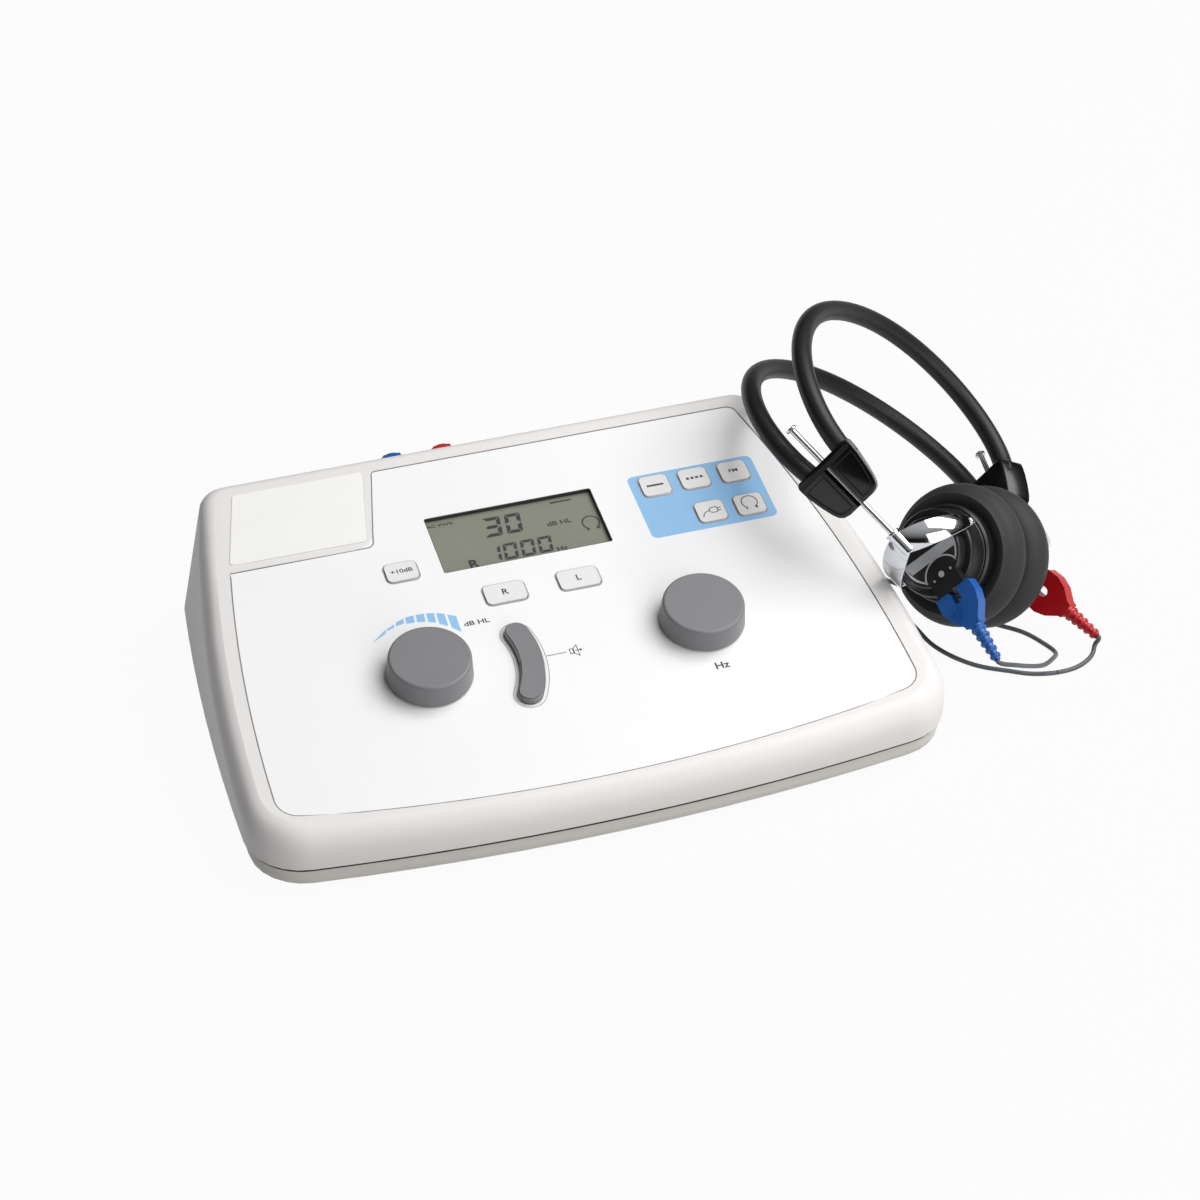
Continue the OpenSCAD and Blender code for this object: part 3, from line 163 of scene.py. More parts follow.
unit_shift = Vector((-54, 39, 0))
headset = (Matrix.Translation(unit_shift + Vector((214.8, -61.9, 41.5)))
    @ Matrix.Rotation(math.radians(-151), 4, "Z") @ Matrix.Rotation(math.radians(-30.2), 4, "Y")
    @ Matrix.Rotation(math.radians(153), 4, "X"))
phones = {"near": headset, "far": headset @ Matrix.Diagonal((-1, 1, 1, 1))}
blue_turn = -4
red_turn = 13
plug_height = 22.35
plug_centre = 38


def plug_point(near, turn, down):
    """Point on the middle line of a lead plug, so far below the capsule's rim."""
    p = Matrix.Rotation(math.radians(turn), 4, "X") @ Vector((plug_centre, -plug_height - down, 0))
    return phones[near] @ p


def smooth_curve(points, step):
    """Points of the smooth curve through these points, about one step apart."""
    last = len(points) - 1
    out = []
    for i in range(last):
        a = points[i - 1] if i else 2 * points[0] - points[1]
        b, c = points[i], points[i + 1]
        d = points[i + 2] if i < last - 1 else 2 * points[last] - points[last - 1]
        cuts = max(1, round((c - b).length / step))
        for k in range(cuts):
            t = k / cuts
            out.append(0.5 * (2 * b + (c - a) * t + (2 * a - 5 * b + 4 * c - d) * t * t
                + (3 * b - a - 3 * c + d) * t ** 3))
    return out + [points[last]]


def on_table(points):
    return [unit_shift + Vector(p) for p in points]


def show(name, mesh, material, smooth=True):
    """Puts a mesh in the scene under this name and material, its faces turned outward."""
    work = bmesh.new()
    work.from_mesh(mesh)
    bmesh.ops.recalc_face_normals(work, faces=work.faces)
    work.to_mesh(mesh)
    work.free()
    mesh.materials.append(material)
    if smooth:
        mesh.shade_smooth()
    return placed(name, mesh)


def settle(piece, body, node):
    """The piece rides on this body and stands for the node, which is hidden."""
    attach(piece, body)
    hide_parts(node)


def solid(name, verts, faces, material, smooth=True):
    mesh = bpy.data.meshes.new(name)
    mesh.from_pydata(verts, [], faces)
    return show(name, mesh, material, smooth)


def skin(rows, sides, ends=True):
    """Faces over rows of points, closed by two end faces or by joining the last row to the first."""
    faces = [(i * sides + k, i * sides + (k + 1) % sides, (i + 1) % rows * sides + (k + 1) % sides,
        (i + 1) % rows * sides + k) for i in range(rows - ends) for k in range(sides)]
    if ends:
        faces += [tuple(range(sides))[::-1], tuple((rows - 1) * sides + k for k in range(sides))]
    return faces


def swept_tube(name, path, radius, sides, material):
    """Round tube along a path in millimetres, closed at both ends."""
    last = len(path) - 1
    ways = [(path[min(i + 1, last)] - path[max(i - 1, 0)]).normalized() for i in range(last + 1)]
    across = ways[0].orthogonal().normalized()
    verts = []
    for point, way in zip(path, ways):
        across = (across - way * across.dot(way)).normalized()
        up = way.cross(across)
        for k in range(sides):
            a = 2 * math.pi * k / sides
            verts.append((point + radius * (math.cos(a) * across + math.sin(a) * up)) * MM)
    return solid(name, verts, skin(len(path), sides), material)


def surface(name, low, high, patch, grain, rough, relief, fixed={}):
    """A finish with two close colours in soft patches, a fine grain that changes its gloss a
    little, and a relief of that grain. Patch, grain and relief are in millimetres."""
    material = bpy.data.materials.new(name)
    material.use_nodes = True
    tree = material.node_tree
    shade = tree.nodes["Principled BSDF"]
    place = add(tree, "ShaderNodeTexCoord").outputs["Object"]
    cloud = add(tree, "ShaderNodeTexNoise", {},
        {"Vector": place, "Scale": 1 / (patch * MM), "Detail": 3.0})
    mix = add(tree, "ShaderNodeMix", {"data_type": "RGBA"},
        {"Factor": cloud.outputs["Fac"], 6: colour(low), 7: colour(high)})
    grit = add(tree, "ShaderNodeTexNoise", {},
        {"Vector": place, "Scale": 1 / (grain * MM), "Detail": 2.0})
    gloss_swing = 0.05
    gloss = add(tree, "ShaderNodeMapRange", {},
        {"Value": grit.outputs["Fac"], "To Min": rough - gloss_swing, "To Max": rough + gloss_swing})
    bump = add(tree, "ShaderNodeBump", {},
        {"Height": grit.outputs["Fac"], "Strength": 0.5, "Distance": relief * MM})
    tree.links.new(mix.outputs[2], shade.inputs["Base Color"])
    tree.links.new(gloss.outputs[0], shade.inputs["Roughness"])
    tree.links.new(bump.outputs[0], shade.inputs["Normal"])
    for socket, value in fixed.items():
        shade.inputs[socket].default_value = value
    return material


def dress(material, *nodes):
    """Gives CAD pieces this material."""
    for node in nodes:
        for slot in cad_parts[node].material_slots:
            slot.material = material


# Soft PVC sheath, extruded: smooth, with a dull sheen.
lead_pvc = surface("soft_grey_pvc", "4c4f53", "5d6165", 15, 0.6, 0.42, 0.02)
cord_pvc = surface("dark_grey_pvc", "303336", "3b3e41", 18, 0.8, 0.45, 0.03)

lead_width = 2.3
lead_low = lead_width / 2 + 0.1
yoke = Vector((182, 0, 2.4))
yoke_length = 20
lead_routes = {
    "blue": ("near", blue_turn, 1.8, [
        (206, -134, 28), (218, -128, 20), (230, -120, 12), (240, -110, 6.5), (246, -101, 2.2)],
        [(244, -91), (238, -79), (226, -67), (216, -54), (206, -40), (198, -26), (189, -14)]),
    "red": ("far", red_turn, -1.8, [
        (266, -103, 4.5), (262, -109, 2.4)],
        [(252, -114), (240, -115), (228, -112), (218, -106), (206, -98), (197, -87), (191, -74),
        (189, -60), (186, -42), (182, -22)]),
}
plug_length = 41

# The lengths along each lead, in millimetres, at which it is cut into its top, its bend and its run.
bend_start, bend_end = 36, 106


def relaxed(path, passes):
    """The path with its bends evened out; both ends stay."""
    for _ in range(passes):
        inner = [(path[i - 1] + 2 * path[i] + path[i + 1]) / 4 for i in range(2, len(path) - 2)]
        path = path[:2] + inner + path[-2:]
    return path


def cut_at(path, *lengths):
    """The path in stretches that end at these lengths along it, in millimetres."""
    stretches, start, run = [], 0, 0
    marks = list(lengths)
    for i in range(1, len(path)):
        run += (path[i] - path[i - 1]).length
        if marks and run >= marks[0]:
            stretches.append(path[start:i + 1])
            start = i
            marks.pop(0)
    return stretches + [path[start:]]


for tone, (near, turn, yoke_x, falling, lying) in lead_routes.items():
    route = falling + [(x, y, lead_low) for x, y in lying]
    end = yoke + Vector((yoke_x, 0, 0))
    start = [plug_point(near, turn, plug_length), plug_point(near, turn, plug_length + lead_width)]
    finish = on_table([end - Vector((0, lead_width, 0)), end])
    path = smooth_curve(start + on_table(route) + finish, 1.0)
    stretches = cut_at(relaxed(path, 10), bend_start, bend_end)
    bodies = [(near + "_phone", near + "_slider"), (near + "_slider", "headset"), ("headset",)]
    for stretch, pair, part in zip(stretches, bodies, ("top", "bend", "run")):
        piece = swept_tube("lead_%s_%s" % (tone, part), stretch, lead_width / 2, 12, lead_pvc)
        if len(pair) == 2:
            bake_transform(piece)
        else:
            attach(piece, "headset")
        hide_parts("lead_" + tone)

dress(cord_pvc, "cord_yoke", "cord_split")

cord_width = 3.6
cord_low = cord_width / 2 + 0.4
coil_centre = Vector((112, 112, 0))
coil_radius = 32
coil_pitch = cord_width + 0.5
coil_turns = 5
coil_start_angle = 30
coil_end_angle = 90
leave = (coil_end_angle - coil_start_angle) / 360
layers_end = 2 * coil_turns


def ease(t):
    u = min(1, max(0, t))
    return u * u * (3 - 2 * u)


def coil_point(s):
    """Point of the coil after s turns: in on the lower layer, out on the upper, then down."""
    a = math.radians(coil_start_angle + 360 * s)
    r = (coil_radius - coil_pitch * max(0, min(s, layers_end - s))
        + 1.5 * coil_pitch * ease((s - layers_end) / leave))
    h = (cord_low + coil_pitch * ease((s - coil_turns) / 0.5 + 0.5)
        - coil_pitch * ease((s - layers_end) / leave * 1.5 - 0.5))
    return coil_centre + Vector((r * math.cos(a), r * math.sin(a), h))


def turning(angle):
    return Vector((-math.sin(math.radians(angle)), math.cos(math.radians(angle)), 0))


coil_steps = 366
total = layers_end + leave
middle = [coil_point(total * k / coil_steps) for k in range(coil_steps + 1)]
coil_start = middle[0] - cord_width * turning(coil_start_angle)
coil_end = middle[-1] + cord_width * turning(coil_end_angle)
coil = on_table([coil_start] + middle + [coil_end])
main_start = yoke + Vector((0, yoke_length, 0))
main = smooth_curve(on_table([main_start, main_start + Vector((0, cord_width, 0)), (184, 40, cord_low),
    (181, 62, cord_low), (171, 82, cord_low), (157, 102, cord_low),
    coil_start - cord_width * turning(coil_start_angle), coil_start]), 4)
for name, path, lay in (("main_cord", main, "loose"), ("cord_coil", coil, "coiled")):
    piece = swept_tube(name + "_sheath", path, cord_width / 2, 12, cord_pvc)
    settle(piece, "headset", name)

# ---------------------------------------------------------------- jack plugs
# Two 6.35 mm plugs lie on the table at the end of the split cord. Each has a moulded black
# handle with grip rings and a turned, nickel-plated shaft with its tip, ring and neck.


def revolved(profile, place, segments):
    """Points of a profile of (distance along local X, radius) turned about X, row by row."""
    turns = [2 * math.pi * k / segments for k in range(segments)]
    return [(place @ Vector((along, r * math.cos(a), r * math.sin(a)))) * MM
        for along, r in profile for a in turns]


def shade_by_angle(piece, angle):
    """Smooth shading that stays sharp where faces meet at more than this angle."""
    piece.data.shade_smooth()
    piece.data.set_sharp_from_angle(angle=math.radians(angle))


def turned(name, profile, place, segments, material):
    """Solid of revolution about local X, closed at both ends."""
    verts = revolved(profile, place, segments)
    faces = skin(len(profile), segments)
    if place.determinant() > 0:
        faces = [f[::-1] for f in faces]
    piece = solid(name, verts, faces, material, False)
    shade_by_angle(piece, 32)
    return piece


# Nickel plate over turned brass: bright, slightly warm, with faint turning marks.
nickel = surface("nickel_plate", "b9b7b2", "c9c7c2", 6, 0.35, 0.22, 0.004, {"Metallic": 1.0})
handle_plastic = surface("black_moulded_handle", "17181a", "222326", 9, 0.5, 0.4, 0.02)

split_length = 16
split_foot = coil_end + split_length * turning(coil_end_angle)
tail_gap = 4
jack_x = 50
jack_height = 6.05
inside_handle = 20
handle_profile = ([(0, 2.0), (0.4, 2.3), (11, 3.3), (11.6, 4.6), (13, 5.6), (15, 6)]
    + [(15 + 2.2 * k + d, r) for k in range(11) for d, r in ((0, 6), (0.5, 5.6), (1.1, 5.6), (1.6, 6))]
    + [(40.5, 6), (44, 5.7), (45.6, 5.2), (46, 4.7), (48, 4.7)])
shaft_profile = [(47.9, 3.15), (69.5, 3.15), (70, 3), (70.6, 2.9), (71.4, 2.2), (72, 2.0), (72.8, 2.4),
    (73.4, 2.9), (73.9, 3.0), (74.6, 2.8), (75.6, 1.9), (76, 0.6)]
for tone, side, y in (("blue", 1, 149), ("red", -1, 131)):
    plug_at = Vector((jack_x, y, jack_height))
    start = split_foot + Vector((0, side * tail_gap, 0))
    tail = smooth_curve(on_table([start, start - Vector((lead_width, 0, 0)),
        (start + plug_at) / 2 + Vector((0, 0, 0.2)), plug_at + Vector((lead_width, 0, 0)), plug_at,
        plug_at - Vector((inside_handle, 0, 0))]), 2.5)
    lying = Matrix.Translation(unit_shift + plug_at) @ Matrix.Rotation(math.pi, 4, "Z")
    handle = turned("jack_handle_" + tone, handle_profile, lying, 40, handle_plastic)
    shaft = turned("jack_shaft_" + tone, shaft_profile, lying, 40, nickel)
    wire = swept_tube("tail_%s_sheath" % tone, tail, lead_width / 2, 12, lead_pvc)
    settle(handle, "headset", "jack_plugs")
    settle(shaft, "headset", "jack_plugs")
    settle(wire, "headset", "tail_" + tone)

# ---------------------------------------------------------------- case shells
# Two injection-moulded ABS shells, pale warm grey, with a fine spark-eroded texture that
# dulls every reflection. The lower shell stands in under the seam and is painted a touch
# darker, as painted shade on its downward-facing sides.

tilt = math.radians(11.5)
panel_height = 64
panel = (Matrix.Translation(unit_shift + Vector((0, 0, panel_height)))
    @ Matrix.Rotation(tilt, 4, "X"))


def even_facets(piece, angle):
    """Shades flat faces flat and small facets as one curve; corners over the angle stay sharp."""
    shade_by_angle(piece, angle)
    weigh = piece.modifiers.new("even_facets", "WEIGHTED_NORMAL")
    weigh.keep_sharp = True
    weigh.weight = 80


def smooth_again(node, name, material, body, angle=33):
    """The CAD solid once more, with the facets that stand for a curve shaded as that curve."""
    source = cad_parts[node]
    mesh = source.data.copy()
    mesh.transform(source.matrix_world)
    mesh.materials.clear()
    work = bmesh.new()
    work.from_mesh(mesh)
    weld_distance, flat_angle = 2e-6, math.radians(0.4)
    bmesh.ops.remove_doubles(work, verts=work.verts, dist=weld_distance)
    bmesh.ops.dissolve_limit(work, angle_limit=flat_angle, verts=work.verts, edges=work.edges)
    work.to_mesh(mesh)
    work.free()
    piece = show(name, mesh, material)
    even_facets(piece, angle)
    settle(piece, body, node)
    return piece


def plate(name, curve, place, thick, material, body):
    """A closed flat curve, in millimetres, made a thin plate in this place."""
    curve.extrude = thick / 2
    flat = placed(name + "_outline", curve)
    bpy.context.view_layer.update()
    mesh = bpy.data.meshes.new_from_object(flat.evaluated_get(bpy.context.evaluated_depsgraph_get()))
    bpy.data.objects.remove(flat)
    mesh.materials.clear()
    mesh.transform(Matrix.Scale(MM, 4) @ place)
    mesh.name = name
    piece = show(name, mesh, material, smooth=False)
    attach(piece, body)
    return piece


def printed(name, loops, level, material, body="unit", place=None, thick=0.03):
    """Flat print in millimetres: closed outlines, where one inside another is a hole."""
    curve = bpy.data.curves.new(name, "CURVE")
    curve.dimensions = "2D"
    curve.fill_mode = "BOTH"
    for loop in loops:
        line = curve.splines.new("POLY")
        line.points.add(len(loop) - 1)
        for point, (x, y) in zip(line.points, loop):
            point.co = (x, y, 0, 1)
        line.use_cyclic_u = True
    lifted = (place or panel) @ Matrix.Translation((0, 0, level + thick / 2))
    return plate(name, curve, lifted, thick, material, body)


# Moulded ABS: even colour, soft broad highlights, a texture of about half a millimetre.
shell_abs = surface("pale_grey_moulded_abs", "e2dfdd", "e7e4e2", 60, 0.7, 0.46, 0.012)
# The lower shell's grey is darker than the upper's as painted shade for its downward-facing sides; the
# battery door takes it too.
lower_abs_painted_shade = surface("lower_shell_abs_painted_darker", "d4d0c9", "dad6cf", 60, 0.7, 0.48, 0.012)
smooth_again("upper_case", "upper_shell", shell_abs, "unit")
smooth_again("lower_case", "lower_shell", lower_abs_painted_shade, "unit")
dress(lower_abs_painted_shade, "battery_door")


def case_outline(inset):
    """The case's outline at the parting line, drawn in by a distance."""
    half_f, half_b, front, back = 170.5 - inset, 158 - inset, 166.5 - inset, 67 - inset
    bow, r_f, r_b = 13, 29 - inset, 13 - inset
    lean = math.atan(2 * bow * (half_f - r_f) / half_f ** 2)
    x_s = half_f - r_f + r_f * math.sin(lean)
    y_c = -front + bow * (x_s / half_f) ** 2 + r_f * math.cos(lean)
    swing = math.atan(2 * (half_f - half_b) / (back - r_b - y_c))
    y_e = back - r_b * (1 - math.sin(swing))
    quarter = math.pi / 2
    half = [(x_s * k / 12, -front + bow * (x_s * k / 12 / half_f) ** 2) for k in range(12)]
    for k in range(13):
        a = lean - quarter + (quarter - lean) * k / 12
        half.append((half_f - r_f + r_f * math.cos(a), y_c + r_f * math.sin(a)))
    half += [(half_f - (half_f - half_b) * (k / 16) ** 2, y_c + (y_e - y_c) * k / 16) for k in range(1, 17)]
    for k in range(1, 9):
        a = swing + (quarter - swing) * k / 8
        half.append((half_b + r_b * (math.cos(a) - math.cos(swing)),
            y_e + r_b * (math.sin(a) - math.sin(swing))))
    return half + [(-x, y) for x, y in half[:0:-1]]


# The parting line: a thin dark strip under the upper shell's edge, painted shadow for the gap between the
# shells.
gap_painted_shadow = surface("parting_gap_painted_shadow", "2b2926", "33302c", 20, 0.7, 0.8, 0.0)
parting_height, parting_gap = 12.25, 0.8
parting_shadow = printed("parting_line_shadow_strip", [case_outline(1.4), case_outline(2.4)], parting_height, gap_painted_shadow,
    "unit", Matrix.Translation(unit_shift), parting_gap)

# ---------------------------------------------------------------- feet, screws and rear fittings
# Four moulded rubber feet and four zinc-plated screws under the lower shell. At the back are
# three plastic-bodied jacks, a power inlet and a rocker switch in its bezel.

foot_rubber = surface("black_foot_rubber", "1d1d1e", "2a2a2b", 5, 0.4, 0.75, 0.04)
zinc = surface("zinc_plated_steel", "9da0a3", "b4b6b8", 3, 0.3, 0.32, 0.005, {"Metallic": 1.0})
fitting_nylon = surface("black_moulded_nylon", "1b1c1e", "262729", 8, 0.4, 0.42, 0.02)
dress(foot_rubber, "feet")
dress(zinc, "case_screws", "board_screws", "encoder_nuts", "level_shaft", "frequency_shaft",
    "encoders")
dress(fitting_nylon, "jack_blue", "jack_red", "response_jack", "power_inlet", "rocker_frame",
    "tact_switches", "battery_tray", "power_rocker")

board_green = surface("green_solder_mask", "0e3a20", "155030", 4, 0.8, 0.35, 0.02)
dress(board_green, "main_board", "rear_board")
cell_sleeve = surface("printed_cell_sleeve", "8c7330", "a88c3e", 12, 0.6, 0.3, 0.01, {"Metallic": 0.6})
dress(cell_sleeve, "batteries")

# The nuts on the jacks: hexagonal with a turned chamfer, moulded in the ear's own colour;
# the third one is plated metal.
nut_blue = surface("blue_moulded_nut", "1c4f94", "2560ad", 6, 0.4, 0.35, 0.01)
nut_red = surface("red_moulded_nut", "b01a20", "c5262b", 6, 0.4, 0.35, 0.01)
nut_sides = 48
nut_bore = 4.8
across_flats = 14.6
chamfer_radius = 7.35
back_face = 67
nut_rows = ((0, True), (0, False), (1, False), (7, False), (8, False), (8, True), (7.4, True))
for tone, x, z, material in (("blue", -43.5, 64, nut_blue), ("red", -17.5, 64, nut_red),
        ("plated", 10, 42, nickel)):
    verts = []
    for depth, in_bore in nut_rows:
        for k in range(nut_sides):
            a = 2 * math.pi * k / nut_sides
            edge = across_flats / 2 / math.cos((a + math.pi / 6) % (math.pi / 3) - math.pi / 6)
            r = nut_bore if in_bore else (min(edge, chamfer_radius) if depth in (0, 8) else edge)
            verts.append(millimetres(x + r * math.sin(a), back_face + depth, z + r * math.cos(a))
                + unit_shift * MM)
    faces = skin(len(nut_rows), nut_sides, ends=False)
    nut = solid("jack_nut_" + tone, verts, faces, material, False)
    settle(nut, "unit", "jack_nuts")

# ---------------------------------------------------------------- panel film and its printing
# A white polyester film in a shallow recess of the panel, printed from behind under a finely
# embossed matt face: a blue field round the mode keys, a scale of growing blocks by the level
# knob and a few letters. Thin grey rings round the keys and the tone bar are painted shade at
# their edges, and a thin brown-grey line round the film is painted shadow of its recess. A
# plain name plate lies in its notch.

# Embossed polyester: near white, very fine matt grain.
film_white = surface("white_embossed_polyester", "f0f0f0", "f4f4f5", 80, 0.5, 0.42, 0.01)
plate_white = surface("soft_name_plate", "f1f0ee", "f5f4f2", 40, 0.5, 0.35, 0.01)
dress(film_white, "panel_film")
dress(plate_white, "name_plate")


def lettering(name, text, x, y, height, level, material, body="unit", wide=1.0, bold=0.03):
    """Letters centred at x, y with this capital height; bold widens each stroke by that share."""
    capital_share = 0.69
    thick = 0.03
    font = bpy.data.curves.new(name, "FONT")
    font.body = text
    font.align_x = "CENTER"
    font.align_y = "CENTER"
    font.size = height / capital_share
    font.offset = bold * height
    lifted = panel @ Matrix.Translation((x, y, level + thick / 2)) @ Matrix.Diagonal((wide, 1, 1, 1))
    return plate(name, font, lifted, thick, material, body)


def on_circle(x, y, r, angle):
    """Point at this angle, in degrees, on a circle about x, y."""
    return x + r * math.cos(math.radians(angle)), y + r * math.sin(math.radians(angle))


def rounded_box(x, y, w, d, r, cuts=6):
    """Outline of a rectangle with round corners, about x, y."""
    return [on_circle(x + sx * (w / 2 - r), y + sy * (d / 2 - r), r, 90 * turn + 90 * k / cuts)
        for turn, (sx, sy) in enumerate(((1, 1), (-1, 1), (-1, -1), (1, -1))) for k in range(cuts + 1)]


ink_blue = surface("light_blue_screen_ink", "8abbe6", "93c2ea", 30, 0.5, 0.42, 0.005)
edge_shade_grey = surface("grey_painted_edge_shade", "9a9a9a", "a5a5a5", 20, 0.5, 0.45, 0.005)
ink_black = surface("dark_letter_ink", "2c2e32", "383a3e", 20, 0.5, 0.45, 0.005)

key_size = {
    "key_steady": (74.6, 11.7, 14.2, 13.2), "key_pulsed": (95.1, 11.6, 14.2, 13.2),
    "key_warble": (115.9, 11.4, 14.2, 13.2), "key_line_input": (95.7, -12.2, 14.2, 13.2),
    "key_headphones": (116.1, -12.4, 14.2, 13.2), "key_step": (-62.6, -12.9, 15.5, 11.5),
    "key_right_ear": (-18.3, -38.8, 20, 12), "key_left_ear": (18.7, -38.7, 20, 12),
}
mode_keys = list(key_size.values())[:5]
mode_holes = [rounded_box(x, y, w + 1.0, d + 1.0, 3.1) for x, y, w, d in mode_keys]
printed("mode_field_print", [rounded_box(95.0, -1.0, 65.5, 43.3, 3.2)] + mode_holes, 0, ink_blue)
# A grey ring round each key on the film is painted shade at the key's edge.
for name, (x, y, w, d) in key_size.items():
    ring = [rounded_box(x, y, w + 2.0, d + 2.0, 3.6), rounded_box(x, y, w + 0.8, d + 0.8, 3.0)]
    printed(name + "_edge_painted_shade", ring, 0.035, edge_shade_grey)

blocks = [
    [(-87.9, -53.4), (-79.7, -46.8), (-80.4, -49.4)],
    [(-79.3, -46.9), (-75.0, -44.6), (-75.6, -46.6), (-79.3, -47.9)],
    [(-74.0, -43.7), (-69.9, -42.3), (-70.2, -45.2), (-74.4, -46.1)],
    [(-68.9, -41.9), (-64.6, -41.4), (-65.2, -45.9), (-69.1, -45.9)],
    [(-63.6, -41.4), (-59.5, -41.6), (-60.1, -46.8), (-64.0, -46.1)],
    [(-58.5, -41.7), (-54.8, -42.4), (-55.4, -48.7), (-58.9, -47.3)],
    [(-53.8, -42.7), (-50.1, -44.2), (-50.4, -52.3), (-54.2, -49.8)],
    [(-49.0, -44.9), (-45.1, -47.0), (-45.4, -57.6), (-49.1, -53.7)],
]
printed("level_scale_print", blocks, 0, ink_blue)
lettering("level_unit_print", "dB HL", -36.8, -53.4, 2.7, 0, ink_black, wide=1.25)
lettering("frequency_unit_print", "Hz", 67.4, -109.5, 3.9, 0, ink_black, wide=1.1)
leader = [(-11.2, -82.75), (-1.2, -82.75), (-1.2, -82.35), (-11.2, -82.35)]
printed("tone_leader_print", [leader], 0, ink_black)


def outline_of(points, width):
    """Closed outline of a line of this width along open points."""
    left, right = [], []
    for i, (x, y) in enumerate(points):
        ax, ay = points[max(i - 1, 0)]
        bx, by = points[min(i + 1, len(points) - 1)]
        length = math.hypot(bx - ax, by - ay)
        nx, ny = -(by - ay) / length * width / 2, (bx - ax) / length * width / 2
        left.append((x + nx, y + ny))
        right.append((x - nx, y - ny))
    return left + right[::-1]


printed("loudspeaker_print", [
    [(0.3, -84.4), (2.2, -84.4), (2.2, -81.0), (0.3, -81.0)],
    [(0.7, -84.0), (1.9, -84.0), (1.9, -81.4), (0.7, -81.4)],
    [(2.2, -84.4), (4.6, -86.6), (4.6, -78.9), (2.2, -81.0)],
    [(2.6, -84.2), (4.2, -85.7), (4.2, -79.8), (2.6, -81.2)],
    [(3.2, -82.9), (5.4, -82.9), (5.4, -83.7), (6.6, -82.7), (5.4, -81.7), (5.4, -82.5), (3.2, -82.5)]],
    0, ink_black)

film_reach = 155.9
film_back = 57
front_corner = 12
back_corner = 6
notch_front = 7.2


def film_half(y):
    """Half the film's width at y: its sides draw in towards the back."""
    return film_reach - 24.9 * ((y + 137) / 194) ** 2


def film_edge(x):
    """The film's bowed front edge at x."""
    return -159.8 + 13.3 * (x / 149) ** 2


def round_corner(before, corner, after, r, cuts=6):
    """Points of the arc that rounds this corner."""
    a, c, b = Vector(before), Vector(corner), Vector(after)
    u, v = (a - c).normalized(), (b - c).normalized()
    half = math.acos(u.dot(v)) / 2
    middle = c + (u + v).normalized() * r / math.sin(half)
    start, end = c + u * r / math.tan(half), c + v * r / math.tan(half)
    turn = (start - middle).angle_signed(end - middle)
    out = []
    for k in range(cuts + 1):
        spin = Matrix.Rotation(-turn * k / cuts, 2)
        out.append(tuple(middle + spin @ (start - middle)))
    return out


# The film's outline, from the middle of its front, round the right, to the notch in which the
# name plate lies and down the left.
side_foot = film_edge(film_reach) - 1.2 + front_corner
side_top = film_back - back_corner
front_xs = [(film_reach - front_corner) * k / 12 for k in range(12)]
side_ys = [side_foot + (side_top - side_foot) * k / 12 for k in range(1, 13)]
film_side = ([(x, film_edge(x)) for x in front_xs]
    + [on_circle(film_reach - front_corner, side_foot, front_corner, -80 + 78 * k / 8) for k in range(9)]
    + [(film_half(y), y) for y in side_ys]
    + [on_circle(film_half(side_top) - back_corner, side_top, back_corner, 12 + 13 * k)
        for k in range(1, 7)])
notch = (round_corner((-40, film_back), (-59.2, film_back), (-70.1, 13), 2.5)
    + [(-59.9, 54), (-69.6, 15)] + round_corner((-69.6, 15), (-71.3, 7.3), (-80, 6.95), 3.5)
    + [(-film_half(notch_front), notch_front)])
film_line = film_side + notch + [(-x, y) for x, y in film_side[:0:-1] if y < notch_front]


def drawn_in(points, by):
    """The outline moved inward by a distance."""
    out = []
    for i, (x, y) in enumerate(points):
        way = Vector(points[(i + 1) % len(points)]) - Vector(points[i - 1])
        way.normalize()
        out.append((x - way.y * by, y + way.x * by))
    return out


# A thin brown-grey line round the film's edge is painted shadow of the recess it lies in.
recess_shadow_paint = surface("brown_grey_recess_shadow", "6b645d", "746d66", 20, 0.5, 0.45, 0.005)
shadow_line_width = 0.62
printed("film_edge_painted_shadow", [film_line, drawn_in(film_line, shadow_line_width)], 0.004, recess_shadow_paint)

# ---------------------------------------------------------------- display
# A liquid-crystal display behind a clear hard-coated window, sunk by the thickness of the
# panel. Its face is olive grey; the segments are dark, with soft edges.

# Polariser film under acrylic: a dull green grey with a clear gloss over it.
display_face = surface("olive_display_face", "787b6c", "828575", 50, 1.2, 0.32, 0.0,
    {"Coat Weight": 0.25, "Coat Roughness": 0.08})
dress(display_face, "display_window")
module_dark = surface("dark_display_module", "1e2422", "2a312e", 20, 0.6, 0.4, 0.01)
dress(module_dark, "display_module")
segment_ink = surface("dark_display_segments", "24282a", "2c3032", 10, 0.5, 0.35, 0.0)
faint_ink = surface("grey_display_segments", "33362f", "3b3e37", 10, 0.5, 0.35, 0.0)

glass_level = -2.4


def digit(which, x, y, w, h, slant, stroke):
    """Loops of one seven-segment figure, lower left corner at x, y."""
    s, g = stroke, stroke * 0.14
    half = h / 2
    shapes = {
        "top": [(g, h), (w - g, h), (w - s - g, h - s), (s + g, h - s)],
        "bottom": [(g, 0), (s + g, s), (w - s - g, s), (w - g, 0)],
        "middle": [(s / 2 + g, half), (s + g, half + s / 2), (w - s - g, half + s / 2),
            (w - s / 2 - g, half), (w - s - g, half - s / 2), (s + g, half - s / 2)],
        "left_up": [(0, h - g), (s, h - s - g), (s, half + s / 2 + g), (0, half + g)],
        "left_down": [(0, g), (0, half - g), (s, half - s / 2 - g), (s, s + g)],
        "right_up": [(w, h - g), (w, half + g), (w - s, half + s / 2 + g), (w - s, h - s - g)],
        "right_down": [(w, g), (w - s, s + g), (w - s, half - s / 2 - g), (w, half - g)],
    }
    right = ("right_up", "right_down")
    lit = {"0": ("top", "bottom", "left_up", "left_down") + right, "1": right,
        "3": ("top", "middle", "bottom") + right}[which]
    return [[(x + px + slant * py, y + py) for px, py in shapes[name]] for name in lit]


